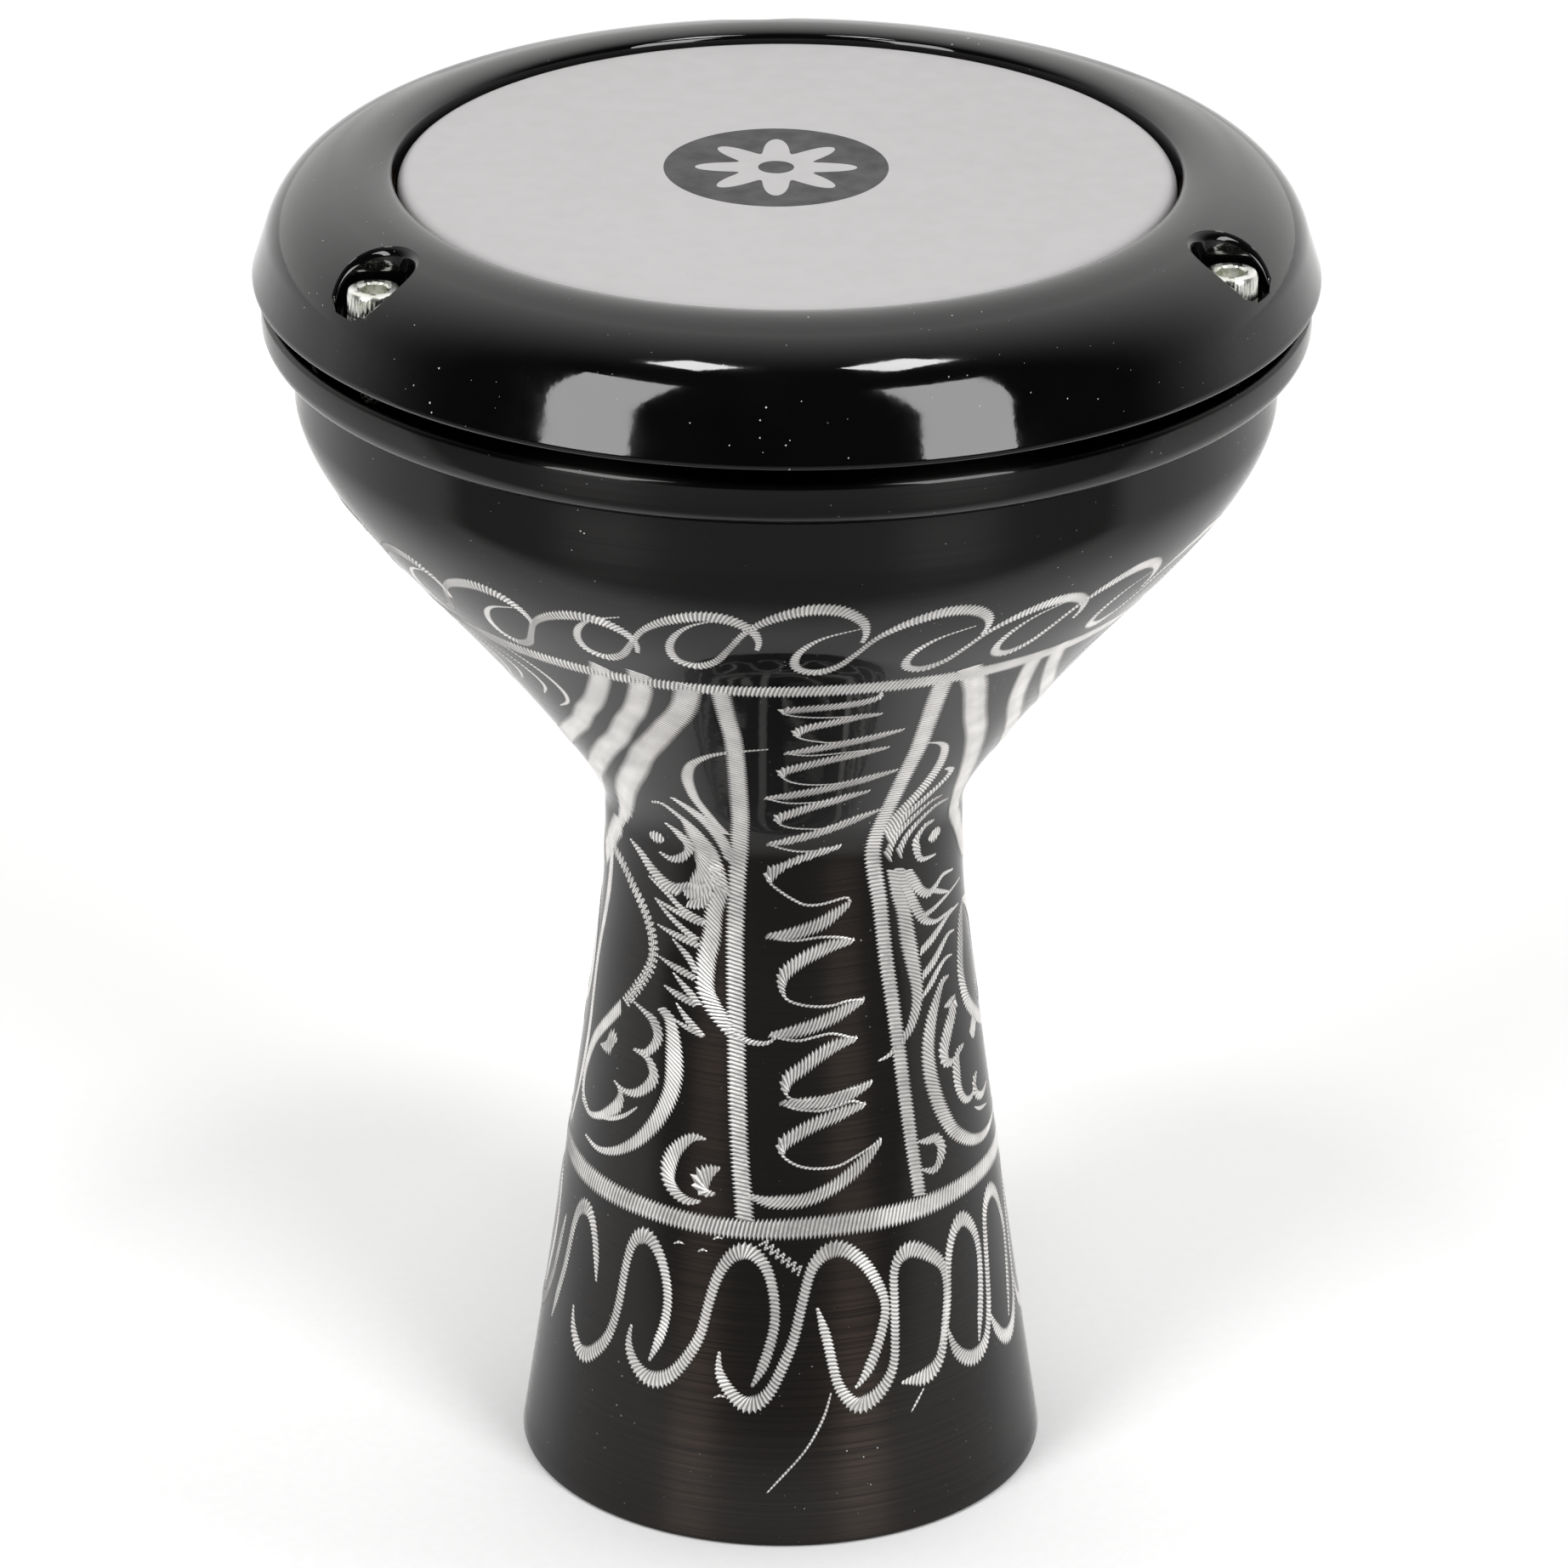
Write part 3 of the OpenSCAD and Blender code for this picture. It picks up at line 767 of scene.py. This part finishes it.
# Strokes in the field to the right of the panel
RIGHT_LEAVES = (
    ((29.5, 169.5, 0.3), (33, 168.3), (35.5, 166, 1.6), (37.5, 161.5), (38, 157, 2.6), (37, 152.5),
     (34.5, 147.5, 3), (32, 143, 2.4)),
    ((41.5, 158.5, 0.8), (44.5, 157, 1.4), (44.5, 154), (41.5, 150), (37.5, 146), (34, 141, 3)),
    ((50, 148.5, 0.6), (46, 148, 1.4), (41.5, 145), (37, 141), (34.5, 137, 2.6)),
    ((56.5, 145.8, 0.5), (51, 145.8, 1.4), (46, 143.5), (42, 140.5), (39, 137, 2.4)),
    ((54, 141.2, 0.6), (50, 141, 1.6), (47, 138.5, 2.2), (47.5, 135.5), (50, 133.8),
     (57, 133.3, 0.4)),
    ((37, 134, 2.4), (39, 129), (41.5, 124.5), (43, 118, 3.6), (44.5, 112), (45, 108),
     (44, 104.5, 2.4), (41, 101), (37.5, 99, 1.4), (33, 97), (29, 96.3, 0.3)),
    ((39.5, 134, 2), (42, 130), (45, 126.5), (48, 123, 2.2), (51, 120.8, 1.6), (56, 119.4, 0.9),
     (62, 119.3, 0.7), (68, 119.3, 0.3)),
    ((50, 121.8, 1.2), (56, 122.2, 0.9), (62, 122.8), (70, 123.2), (77, 123.2, 0.3)),
    ((43, 133, 1.8), (46, 130, 2.2), (49, 127.5), (53, 126, 1.6), (57, 126.5), (62, 127.8),
     (70, 127, 0.4)),
    ((56, 126, 1), (61, 124.5, 0.9), (66, 123.3, 0.3)),
    ((48, 115, 1.4), (54, 116.3, 1.6), (60, 117.8, 1.2), (66, 118.8), (74, 118.7, 0.3)),
    ((48, 110, 1.4), (54, 111.8, 1.6), (60, 114, 1.2), (64, 115), (68, 114.7, 0.3)),
    ((46, 105.5, 0.4), (52, 108, 1.4), (57, 110), (61, 110.8), (64.5, 110.5, 0.3)),
    ((61, 107, 0.4), (57, 106.5, 1.4), (53, 103.5), (49.5, 99.5, 3), (47.5, 95), (47.5, 90, 3.4),
     (49, 85), (51.5, 80.5, 3.2), (55, 76.5), (60, 73.5), (66, 71.3), (74, 70.2, 1.6),
     (85, 70.5, 0.8), (92, 71.2, 0.4)),
    ((57, 101.7, 0.4), (62, 101.5, 2.4), (60.5, 99), (58, 97, 3), (54.5, 93.5, 3), (54.5, 91),
     (57, 90, 1.4), (60, 90.2), (65.5, 91.5, 0.4)),
    ((65.5, 91.5, 0.4), (62, 91, 1.4), (60, 88.5, 2.8), (59.5, 85), (61, 82, 1.8), (64, 80.3),
     (68, 80.5), (72.5, 83.5, 0.4)),
    ((72.5, 83.5, 0.4), (70, 82, 2.2), (70.5, 79.5), (75, 78, 1.4), (82, 78.5, 0.4)),
    ((68, 77.5, 0.3), (72, 76, 0.8), (78, 75, 0.3)),
    ((40.5, 77.8, 0.3), (44, 77.3, 1.4), (47.5, 76.8), (49, 74.5, 2.4), (47.5, 72), (45, 71, 1.4),
     (41, 72, 0.4)),
    ((80, 118, 0.8), (75, 114.5, 3), (71.5, 110), (69.5, 105.5), (70.5, 101), (73.5, 97.5),
     (80, 93.5, 3), (88, 90, 2.4), (94, 89, 0.8)),
    ((80, 118, 0.8), (86, 116, 2.6), (92, 111, 3), (95, 105), (95, 99), (92, 95, 2.4),
     (86, 96, 1.4), (83, 100, 0.4)),
)

# The legs of the line down the panel, each from the end of the last
PANEL_LEGS = (
    ((14.5, 189), (14.5, 187.5), (12.5, 186.3), (8, 185.5), (3, 184.9), (0, 184.3), (0, 183.4),
     (2.5, 182.5), (7, 182), (16, 181.8)),
    ((12, 181.4), (8, 180.2), (4, 178.8), (2, 177), (3, 175.5), (6, 174.4), (10, 173.9),
     (21.8, 175.6)),
    ((10, 173), (0, 170.8)),
    ((5, 170), (13, 170.4), (20.5, 170.4)),
    ((12, 169), (5, 167), (0, 165), (-0.5, 163.5), (1.5, 161.8), (5, 160.9), (10, 160.6),
     (15, 160.9), (25.5, 162.4)),
    ((15, 160.4), (5, 158.3), (-4.5, 156.7)),
    ((0, 155.4), (5, 155.2), (12, 155.6), (20.8, 157.1)),
    ((15, 156), (8, 154.2), (3, 152.4), (-1.5, 150.5), (-1, 148.8), (2, 147.8), (6, 147.4),
     (12, 147.2), (18, 149), (27, 150.6)),
    ((20, 148.8), (10, 146), (0, 143.9), (-5, 143.2)),
    ((0, 142), (5, 141.3), (12, 141.3), (17.7, 141.8)),
    ((10, 140.6), (5, 139.5), (0, 138), (-4.5, 136), (-4.3, 134.5), (-1, 132.7), (3, 131),
     (7, 129.8), (12, 129.7), (20, 130.5), (21.5, 129.3)),
    ((18, 127.8), (13, 126), (8, 124.8), (3, 124), (-5.3, 123.4)),
    ((-1, 122.8), (4, 122.5), (12, 122.9), (19, 122.3), (22.5, 121.3)),
    ((15, 120.8), (9, 119.5), (4, 117.7), (0, 115.3), (-0.5, 113), (1, 110.8), (5, 109.6),
     (10, 109), (15, 108.9), (20, 109.4), (25.5, 109.1)),
    ((20, 107.8), (12, 105.8), (5, 104.5), (-3.8, 103.6)),
    ((0, 102.8), (5, 102.4), (10, 103), (15, 103.3), (22.3, 101.6)),
    ((16, 100.8), (11, 99.3), (6, 97), (2, 95), (0.5, 93), (2, 91), (6, 90.4), (12, 90.8),
     (18, 91.5), (26.5, 92.3)),
    ((20, 90.8), (12, 89.8), (5, 89.9), (-0.5, 90.1)),
    ((3, 88.9), (8, 88.3), (12, 88.2), (20, 89.3), (24, 88.1)),
    ((18, 87.3), (10, 85.7), (4, 83.6), (0, 81.5), (0, 79.6), (3, 77.8), (7, 76.8), (12, 76.5),
     (16, 76.8), (20, 77.9), (28.5, 80.4)),
    ((24, 77.5), (18, 74.3), (12, 71.9), (6, 70.4), (0, 70.1), (-5, 70.4), (-8.5, 71.2)),
)

# Upright lines and bands: the width of each, then its points
BANDS = (
    (3.1, ((-9.5, 190), (-9.5, 183), (-9.3, 175), (-9.7, 168), (-10.5, 160), (-11.8, 150),
     (-13, 145), (-14.5, 137), (-15, 130), (-15.2, 122), (-14.8, 115), (-14, 105), (-13.2, 95),
     (-12.3, 85), (-11.3, 77), (-10.2, 70), (-9.7, 66))),
    (3, ((24, 190, 3.6), (25, 183), (26.5, 175), (27.8, 168), (28.5, 160), (29.3, 150), (29.2, 143),
     (29.3, 138), (30.5, 133), (32, 128, 3), (33, 122), (34, 115), (35.2, 107), (36.2, 98),
     (37.2, 88), (38, 80), (39, 72), (39.6, 67, 2.7))),
    (4.5, ((-14, 191), (-16.5, 183), (-21, 176.5), (-26, 170.5), (-31, 165.5), (-36, 160),
     (-42, 155), (-48, 150.5), (-54, 146), (-59, 142), (-64, 138.5), (-68, 136), (-75, 131),
     (-81, 127))),
    (4.1, ((-21, 193), (-22.5, 187), (-26, 180), (-30, 175), (-35, 169), (-40, 165), (-46, 160.5),
     (-52, 156.5), (-58, 153), (-66, 149), (-75, 144.5), (-81, 143))),
    (3.8, ((-27, 193), (-29.5, 187), (-34, 180), (-39, 175), (-44, 170), (-50, 166), (-56, 162.5),
     (-62, 159.5), (-70, 156), (-81, 152.5))),
    (4.4, ((27, 193), (31, 186), (33.5, 181), (37, 175), (42, 168.5), (47, 162), (53, 155),
     (58, 150), (63, 146), (68, 141), (75, 135.5), (80, 131), (85, 128.5), (92, 126.5), (99, 127))),
    (3.8, ((39.5, 192), (41, 187), (44, 180), (48, 174), (54, 168), (60, 163), (66, 158.5),
     (75, 153), (85, 147), (99, 143))),
    (3.7, ((44, 192), (47, 186), (51, 180.5), (56, 175.5), (62, 171), (70, 166), (75, 163),
     (87, 156), (99, 152.5))),
)


# ---------------------------------------------------------------- engraving

SIDE = sorted((z, r) for r, z in body_path())
SIDE_Z = [z for z, _ in SIDE]
HALF_TURN = 180

# How much broader the strokes are cut than they are drawn, the length of a tooth, the least
# width, and how far from its ends a stroke starts to thin
BROADEN = 1.3
TOOTH = 0.42
THINNEST = 0.12
TAPER = 5
CURVE_STEP = 0.4
ZIGZAG_STEP = 0.3

# Heights above the lacquer: the crest of a tooth, the part of it left between teeth, the
# stroke's edge, and how deep its root lies
CREST = 0.08
CREST_BY_WIDTH = 0.02
BETWEEN = 0.25
EDGE = 0.015
ROOT = 0.08


def side_at(z):
    """Radius and slope of the shell's side at a height."""
    i = min(max(bisect.bisect(SIDE_Z, z), 1), len(SIDE) - 1)
    (z0, r0), (z1, r1) = SIDE[i - 1], SIDE[i]
    slope = (r1 - r0) / max(z1 - z0, 1e-9)
    return r0 + slope * (z - z0), slope


def on_side(azimuth, z):
    """A point on the shell's side, and the side's outward direction there."""
    r, slope = side_at(z)
    t = math.radians(azimuth)
    out = Vector((math.sin(t), -math.cos(t), -slope)).normalized()
    return Vector((r * math.sin(t), -r * math.cos(t), z)), out


def with_widths(points, default):
    """Points of (azimuth, z) or (azimuth, z, width), each given a width between its neighbours'."""
    given = [(i, p[2]) for i, p in enumerate(points) if len(p) > 2] or [(0, default)]
    out = []
    for i, p in enumerate(points):
        before = max((g for g in given if g[0] <= i), default=given[0])
        after = min((g for g in given if g[0] >= i), default=given[-1])
        gap = after[0] - before[0]
        share = (i - before[0]) / gap if gap else 0
        out.append((p[0], p[1], before[1] + (after[1] - before[1]) * share))
    return out


def smooth(points, step=TOOTH):
    """A smooth curve through the points, as closely spaced points step mm apart."""
    fine = []
    for i in range(len(points) - 1):
        a, b = points[max(i - 1, 0)], points[i]
        c, d = points[i + 1], points[min(i + 2, len(points) - 1)]
        r = side_at(b[1])[0]
        length = math.hypot(math.radians(c[0] - b[0]) * r, c[1] - b[1])
        count = max(2, round(length / CURVE_STEP))
        for k in range(count):
            t = k / count
            fine.append(tuple(
                0.5 * (2 * q + (s - p) * t + (2 * p - 5 * q + 4 * s - u) * t * t
                       + (3 * q - p - 3 * s + u) * t**3)
                for p, q, s, u in zip(a, b, c, d)))
    fine.append(points[-1])
    return spaced(fine, step)


def eased(path, reach):
    """A path whose bends are rounded by averaging each point with its neighbours."""
    out = []
    for i, point in enumerate(path):
        k = min(reach, i, len(path) - 1 - i)
        near = path[i - k:i + k + 1]
        out.append(tuple(sum(p[j] for p in near) / len(near) for j in range(len(point))))
    return out


def spaced(path, step):
    """A path resampled every step mm along the shell's side."""
    spots = [on_side(az, z)[0] for az, z, _ in path]
    run = [0.0]
    for a, b in zip(spots[:-1], spots[1:]):
        run.append(run[-1] + (b - a).length)
    count = max(3, round(run[-1] / step))
    out, j = [], 0
    for i in range(count + 1):
        at = run[-1] * i / count
        while j < len(run) - 2 and run[j + 1] < at:
            j += 1
        share = (at - run[j]) / max(run[j + 1] - run[j], 1e-9)
        out.append(tuple(p + (q - p) * share for p, q in zip(path[j], path[j + 1])))
    return out


class Engraving:
    """One piece of engraved line work: low toothed ridges of bare metal, proud of the lacquer."""

    def __init__(self, name):
        self.name = name
        self.verts = []
        self.faces = []
        self.painted_shade_turns = []

    def cut(self, path, bite=0.42, slant=0.25, turn=0):
        """A toothed ribbon along evenly spaced (azimuth, z, width) points.

        Bite is how far the gaps between teeth cut in, and slant how far the teeth lean.
        """
        start = len(self.verts)
        spots = [on_side(az + turn, z) for az, z, _ in path]
        last = len(path) - 1
        for i, (spot, out) in enumerate(spots):
            along = (spots[min(i + 1, last)][0] - spots[max(i - 1, 0)][0]).normalized()
            across = out.cross(along)
            tooth = i % 2
            half = max(path[i][2], THINNEST) * BROADEN / 2 * (1 if tooth else 1 - bite)
            lean = along * slant * half
            crest = CREST + CREST_BY_WIDTH * min(path[i][2], 3)
            self.verts += [
                spot + across * half + lean + out * EDGE,
                spot + out * (crest if tooth else crest * BETWEEN),
                spot - across * half - lean + out * EDGE,
                spot - out * ROOT,
            ]
        for i in range(last):
            a, b = start + 4 * i, start + 4 * (i + 1)
            for k in range(4):
                m = (k + 1) % 4
                self.faces.append((a + k, b + k, b + m, a + m))
                # Every other step along the stroke takes the darker copy of the metal, as painted
                # shade on its facets.
                self.painted_shade_turns.append(i % 2)
        self.faces.append((start, start + 1, start + 2, start + 3))
        end = start + 4 * last
        self.faces.append((end + 3, end + 2, end + 1, end))
        self.painted_shade_turns += [0, 0]

    def cut_twice(self, path, **how):
        """The same ribbon in front and half a turn round."""
        for turn in (0, HALF_TURN):
            self.cut(path, turn=turn, **how)

    def line(self, points, width=3.0, repeat=True, **how):
        """A smooth line, cut again half a turn round unless it stands alone."""
        path = smooth(with_widths(points, width))
        if repeat:
            self.cut_twice(path, **how)
        else:
            self.cut(path, **how)

    def swell(self, points, legs=1.7, arches=3.0, ends=0.5):
        """A line broad where it runs sideways, thin where it climbs and pointed at its ends."""
        path = eased(smooth(with_widths(points, 1)), 5)
        out = []
        for i, (az, z, _) in enumerate(path):
            a, b = path[max(i - 2, 0)], path[min(i + 2, len(path) - 1)]
            sideways = abs(math.radians(b[0] - a[0]) * side_at(z)[0])
            share = sideways / max(math.hypot(sideways, b[1] - a[1]), 1e-9)
            from_end = min(i, len(path) - 1 - i) * TOOTH
            full = legs + (arches - legs) * share**2
            out.append((az, z, ends + (full - ends) * min(1, from_end / TAPER)))
        self.cut_twice(out)

    def nib(self, legs, thick=2.5, thin=0.5):
        """Joined legs, broad where the line runs to the left and fine where it runs back."""
        start = legs[0][0]
        for leg in legs:
            path = smooth(with_widths([start] + [p for p in leg if p != start], 1))
            start = leg[-1]
            out = []
            for i, (az, z, _) in enumerate(path):
                a, b = path[max(i - 2, 0)], path[min(i + 2, len(path) - 1)]
                run = math.radians(b[0] - a[0]) * side_at(z)[0]
                left = -run / max(math.hypot(run, b[1] - a[1]), 1e-9)
                share = min(1, max(0, 0.5 + 0.9 * left))
                near_end = min(1, min(i, len(path) - 1 - i) * TOOTH / TAPER)
                out.append((az, z, thin + (thick - thin) * share * (0.25 + 0.75 * near_end)))
            self.cut_twice(out, bite=0.5, slant=0.8)

    def leaf(self, azimuth, z, width, height):
        """A filled, pointed blot."""
        shares = [k / 6 for k in range(7)]
        self.line([(azimuth + width * (t - 0.5), z, height * math.sin(math.pi * t) + 0.2)
                   for t in shares], bite=0.15)

    def zigzag(self, points, reach, pitch, width=0.45):
        """An open zigzag to both sides of a line."""
        middle = smooth(with_widths(points, 1), pitch / 2)
        corners = []
        for i, (az, z, _) in enumerate(middle):
            r = side_at(z)[0]
            a, b = middle[max(i - 1, 0)], middle[min(i + 1, len(middle) - 1)]
            run, rise = math.radians(b[0] - a[0]) * r, b[1] - a[1]
            length = max(math.hypot(run, rise), 1e-9)
            side = reach / 2 * (1 if i % 2 else -1)
            turn = math.degrees(-rise / length * side / r)
            corners.append((az + turn, z + run / length * side, width))
        self.cut_twice(spaced(corners, ZIGZAG_STEP), bite=0.1)

    def finish(self, lit_and_shaded_metals):
        """The finished piece, which rides on the shell; its facets take, by turns, the bare metal
        and a darker copy of it that is painted shade.
        """
        piece = mesh_object(self.name, self.verts, self.faces, lit_and_shaded_metals, self.painted_shade_turns,
                            sharp=12, body="shell")


def ring_line(cut, z, width, wave):
    """A line right round the drum, whose height and width drift a little by hand."""
    points = []
    for k in range(73):
        az = -180 + 5 * k
        drift = wave * (math.sin(math.radians(3 * az + 20)) + 0.5 * math.sin(math.radians(7 * az)))
        points.append((az, z + drift, width * (1 + 0.08 * math.sin(math.radians(4 * az)))))
    cut.line(points, repeat=False)


def upper_chain():
    """Rows of joined loops round the bowl."""
    cut = Engraving("engraved_upper_chain")
    pulled = (0, 0, 0, 1, -1, 0, 0, -2, 0, 0, 0, 0)
    bottoms = (195, 195, 193.5, 196.5, 197.5, 196.8, 195.5, 195.5, 195, 195.3, 194.8, 195.2)
    tops = (209, 209.5, 208.7, 213, 215.5, 212.5, 209.5, 211, 210, 210.5, 209.5, 210)
    for k, (pull, bottom, top) in enumerate(zip(pulled, bottoms, tops)):
        tall = (top - bottom) / LOOP_HEIGHT
        cut.line([(-71 + 15 * k + pull + az, bottom - 1 + z * tall, w) for az, z, w in LOOP])
    ring_line(cut, 190.5, 3.8, 0.25)
    return cut


def lower_chain():
    """Long loops round the foot, and the line above them."""
    cut = Engraving("engraved_lower_chain")
    ring_line(cut, 64.5, 3.6, 0.3)
    for points in LOWER_LOOPS:
        cut.swell(points)
    cut.zigzag([(-5, 62), (0, 59), (5, 56)], 2, 1.4, 0.35)
    cut.line([(12, 31, 0.3), (10, 26, 0.5), (6, 20, 0.4), (0, 14, 0.4), (-3, 11, 0.2)],
             repeat=False)
    for nick in ((-29, 59, 3), (-22, 58.5, 2.5), (-18, 61.5, 2.5), (-16, 29.5, 3)):
        cut.line([(nick[0], nick[1], 0.15), (nick[0] + nick[2] / 2, nick[1] + 0.6, 0.5),
                  (nick[0] + nick[2], nick[1] + 0.4, 0.15)], repeat=False)
    cut.line([(36, 28, 0.2), (34, 26, 0.5), (32, 24, 0.2)], repeat=False)
    return cut


def borders():
    """The two upright lines beside each panel, and the bands that sweep round from it."""
    cut = Engraving("engraved_bands")
    for width, points in BANDS:
        cut.line(points, width)
    return cut


def fans():
    """Nested arcs in the gap between two panels, high on the bowl."""
    cut = Engraving("engraved_fans")
    for points in FANS:
        cut.line(points)
    return cut


def panel():
    """One line that goes to and fro down the panel between the borders."""
    cut = Engraving("engraved_panel")
    cut.nib(PANEL_LEGS)
    return cut


def left_leaves():
    """Leaves and combs in the field to the left of the panel."""
    cut = Engraving("engraved_left_leaves")
    for points in LEFT_LEAVES:
        cut.line(points, slant=0.7)
    cut.leaf(-44, 139.5, 6.5, 4.2)
    cut.zigzag([(-70, 131), (-64, 130), (-58, 127.5), (-52, 124.5), (-47.5, 121), (-45, 117.5),
                (-44.5, 114), (-46.5, 110.5), (-50, 107), (-55, 102.7)], 2.6, 1.15)
    return cut


def right_leaves():
    """Leaves, combs and a toothed heart in the field to the right of the panel."""
    cut = Engraving("engraved_right_leaves")
    for points in RIGHT_LEAVES:
        cut.line(points, slant=0.7)
    cut.leaf(56.5, 137.5, 7, 3.2)
    cut.leaf(74.5, 92.5, 7, 3.4)
    return cut


# ---------------------------------------------------------------- stage

# The two windows and two ceiling panels that the black enamel mirrors:
# azimuth, elevation, width and height in degrees, and brightness
SOFTBOXES = {
    "window_left": (-41, 26, 19, 46, 8),
    "window_right": (37.5, 25, 20, 45, 8),
    "ceiling_left": (-50, 74, 9, 9, 18),
    "ceiling_right": (58, 73, 12, 10, 18),
}
LIGHT_AWAY = 1.6
LIGHT_TARGET = Vector((0, 0, 0.25))

# The room's brightness in front and behind, and where it passes from one to the other
ROOM_FRONT = 0.035
ROOM_BEHIND = 1.15
ROOM_FADE = (-0.28, 0.75)

FLOOR_SIZE = 12000
FLOOR_DROP = 0.0002
# Where the floor passes from its dark front to its pale back
FLOOR_FADE = (-0.18, -0.07)

# The photograph's viewpoint, in metres and degrees
CAMERA_AT = (0, -1.434, 0.794)
CAMERA_TILT = 65.46
CAMERA_ROLL = 0.313
CAMERA_LENS = 187.9
CAMERA_SENSOR = 36


def softbox(name, azimuth, elevation, width, height, brightness):
    """A rectangle of light that fills the given angles as the drum sees it."""
    a, e = math.radians(azimuth), math.radians(elevation)
    way = Vector((math.sin(a) * math.cos(e), -math.cos(a) * math.cos(e), math.sin(e)))
    light = bpy.data.lights.new(name, "AREA")
    light.shape = "RECTANGLE"
    light.size = 2 * LIGHT_AWAY * math.tan(math.radians(width / 2))
    light.size_y = 2 * LIGHT_AWAY * math.tan(math.radians(height / 2))
    light.energy = brightness * math.pi * light.size * light.size_y
    lamp = bpy.data.objects.new(name, light)
    lamp.location = LIGHT_TARGET + way * LIGHT_AWAY
    lamp.rotation_euler = (-way).to_track_quat("-Z", "Y").to_euler()
    bpy.context.scene.collection.objects.link(lamp)


def room():
    """A pale room behind the drum that falls off to a dim one in front."""
    world = bpy.data.worlds.new("room")
    bpy.context.scene.world = world
    world.use_nodes = True
    world.node_tree.nodes.clear()
    way = node(world, "TexCoord").outputs["Generated"]
    forward = node(world, "SeparateXYZ", {"Vector": way}).outputs["Y"]
    strength = spread(world, forward, *ROOM_FADE, ROOM_FRONT, ROOM_BEHIND,
                      interpolation_type="SMOOTHSTEP")
    sky = node(world, "Background", {"Color": (1, 0.995, 0.985, 1), "Strength": strength})
    node(world, "OutputWorld", {"Surface": sky.outputs["Background"]})


def floor():
    """A pale table top, white behind the drum and darker in front of it. Behind the drum it glows,
    painted light that washes out shadows, and its colour is lighter further back, painted light
    that makes up for the lamps' fall-off.
    """
    made = new_material("pale_floor", {"Roughness": 0.7, "Specular IOR Level": 0.1,
                                       "Emission Color": (1, 1, 1, 1)})
    forward = node(made, "SeparateXYZ", {"Vector": place(made)}).outputs["Y"]
    fall = spread(made, forward, *FLOOR_FADE, interpolation_type="SMOOTHSTEP")
    pale = mixed(made, spread(made, noise(made, 400, 4), 0.3, 0.7), grey(0.84), grey(0.86))
    # Lighter further back: painted light in place of the lamps' light there.
    pale = mixed(made, spread(made, forward, 0.0, 0.5), pale, grey(0.99))
    front = mixed(made, spread(made, forward, -0.7, -0.3), grey(0.36), grey(0.3))
    # Painted glow: the floor gives off light behind the drum, though it is no lamp.
    painted_glow = spread(made, forward, -0.1, 0.9, 0.04, 0.3)
    link(made, Base_Color=mixed(made, fall, front, pale),
         Emission_Strength=maths(made, "MULTIPLY", fall, painted_glow))
    edge = FLOOR_SIZE
    corners = [(-edge, -edge, 0), (edge, -edge, 0), (edge, edge, 0), (-edge, edge, 0)]
    plane = mesh_object("table_top", corners, [(0, 1, 2, 3)], [made])
    plane.location.z = -FLOOR_DROP


def camera():
    """The photograph's viewpoint: in front, looking down, turned a little anticlockwise."""
    made = bpy.data.cameras.new("camera")
    made.lens = CAMERA_LENS
    made.sensor_width = CAMERA_SENSOR
    made.dof.use_dof = False
    obj = bpy.data.objects.new("camera", made)
    tilt = Matrix.Rotation(math.radians(CAMERA_TILT), 4, "X")
    roll = Matrix.Rotation(math.radians(CAMERA_ROLL), 4, "Z")
    obj.matrix_world = Matrix.Translation(CAMERA_AT) @ tilt @ roll
    bpy.context.scene.collection.objects.link(obj)
    bpy.context.scene.camera = obj


def main():
    camera()
    room()
    floor()
    for name, facts in SOFTBOXES.items():
        softbox(name, *facts)
    scene = bpy.context.scene
    scene.view_settings.view_transform = "Standard"
    scene.view_settings.look = "None"

    inside = shell_inside()
    make_shell(shell_lacquer(), inside)
    make_ring(ring_paint())
    make_film(film_plastic())
    zinc = zinc_plate()
    for i, name in enumerate(SCREWS, 1):
        make_screw(f"socket_screw_{i}", name, f"screw_{i}", zinc)
    for name, made in (("flesh_hoop", hoop_aluminium()), ("hoop_resin", amber_resin())):
        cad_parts[name].data.materials.clear()
        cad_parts[name].data.materials.append(made)

    # The second metal is the same bare aluminium made darker: painted shade for every other facet.
    lit_and_shaded_metals = [cut_aluminium("cut_aluminium", 0.72, 0.94),
              cut_aluminium("painted_shade_aluminium", 0.26, 0.44)]
    for drawn in (upper_chain, lower_chain, borders, fans, panel, left_leaves, right_leaves):
        drawn().finish(lit_and_shaded_metals)


main()
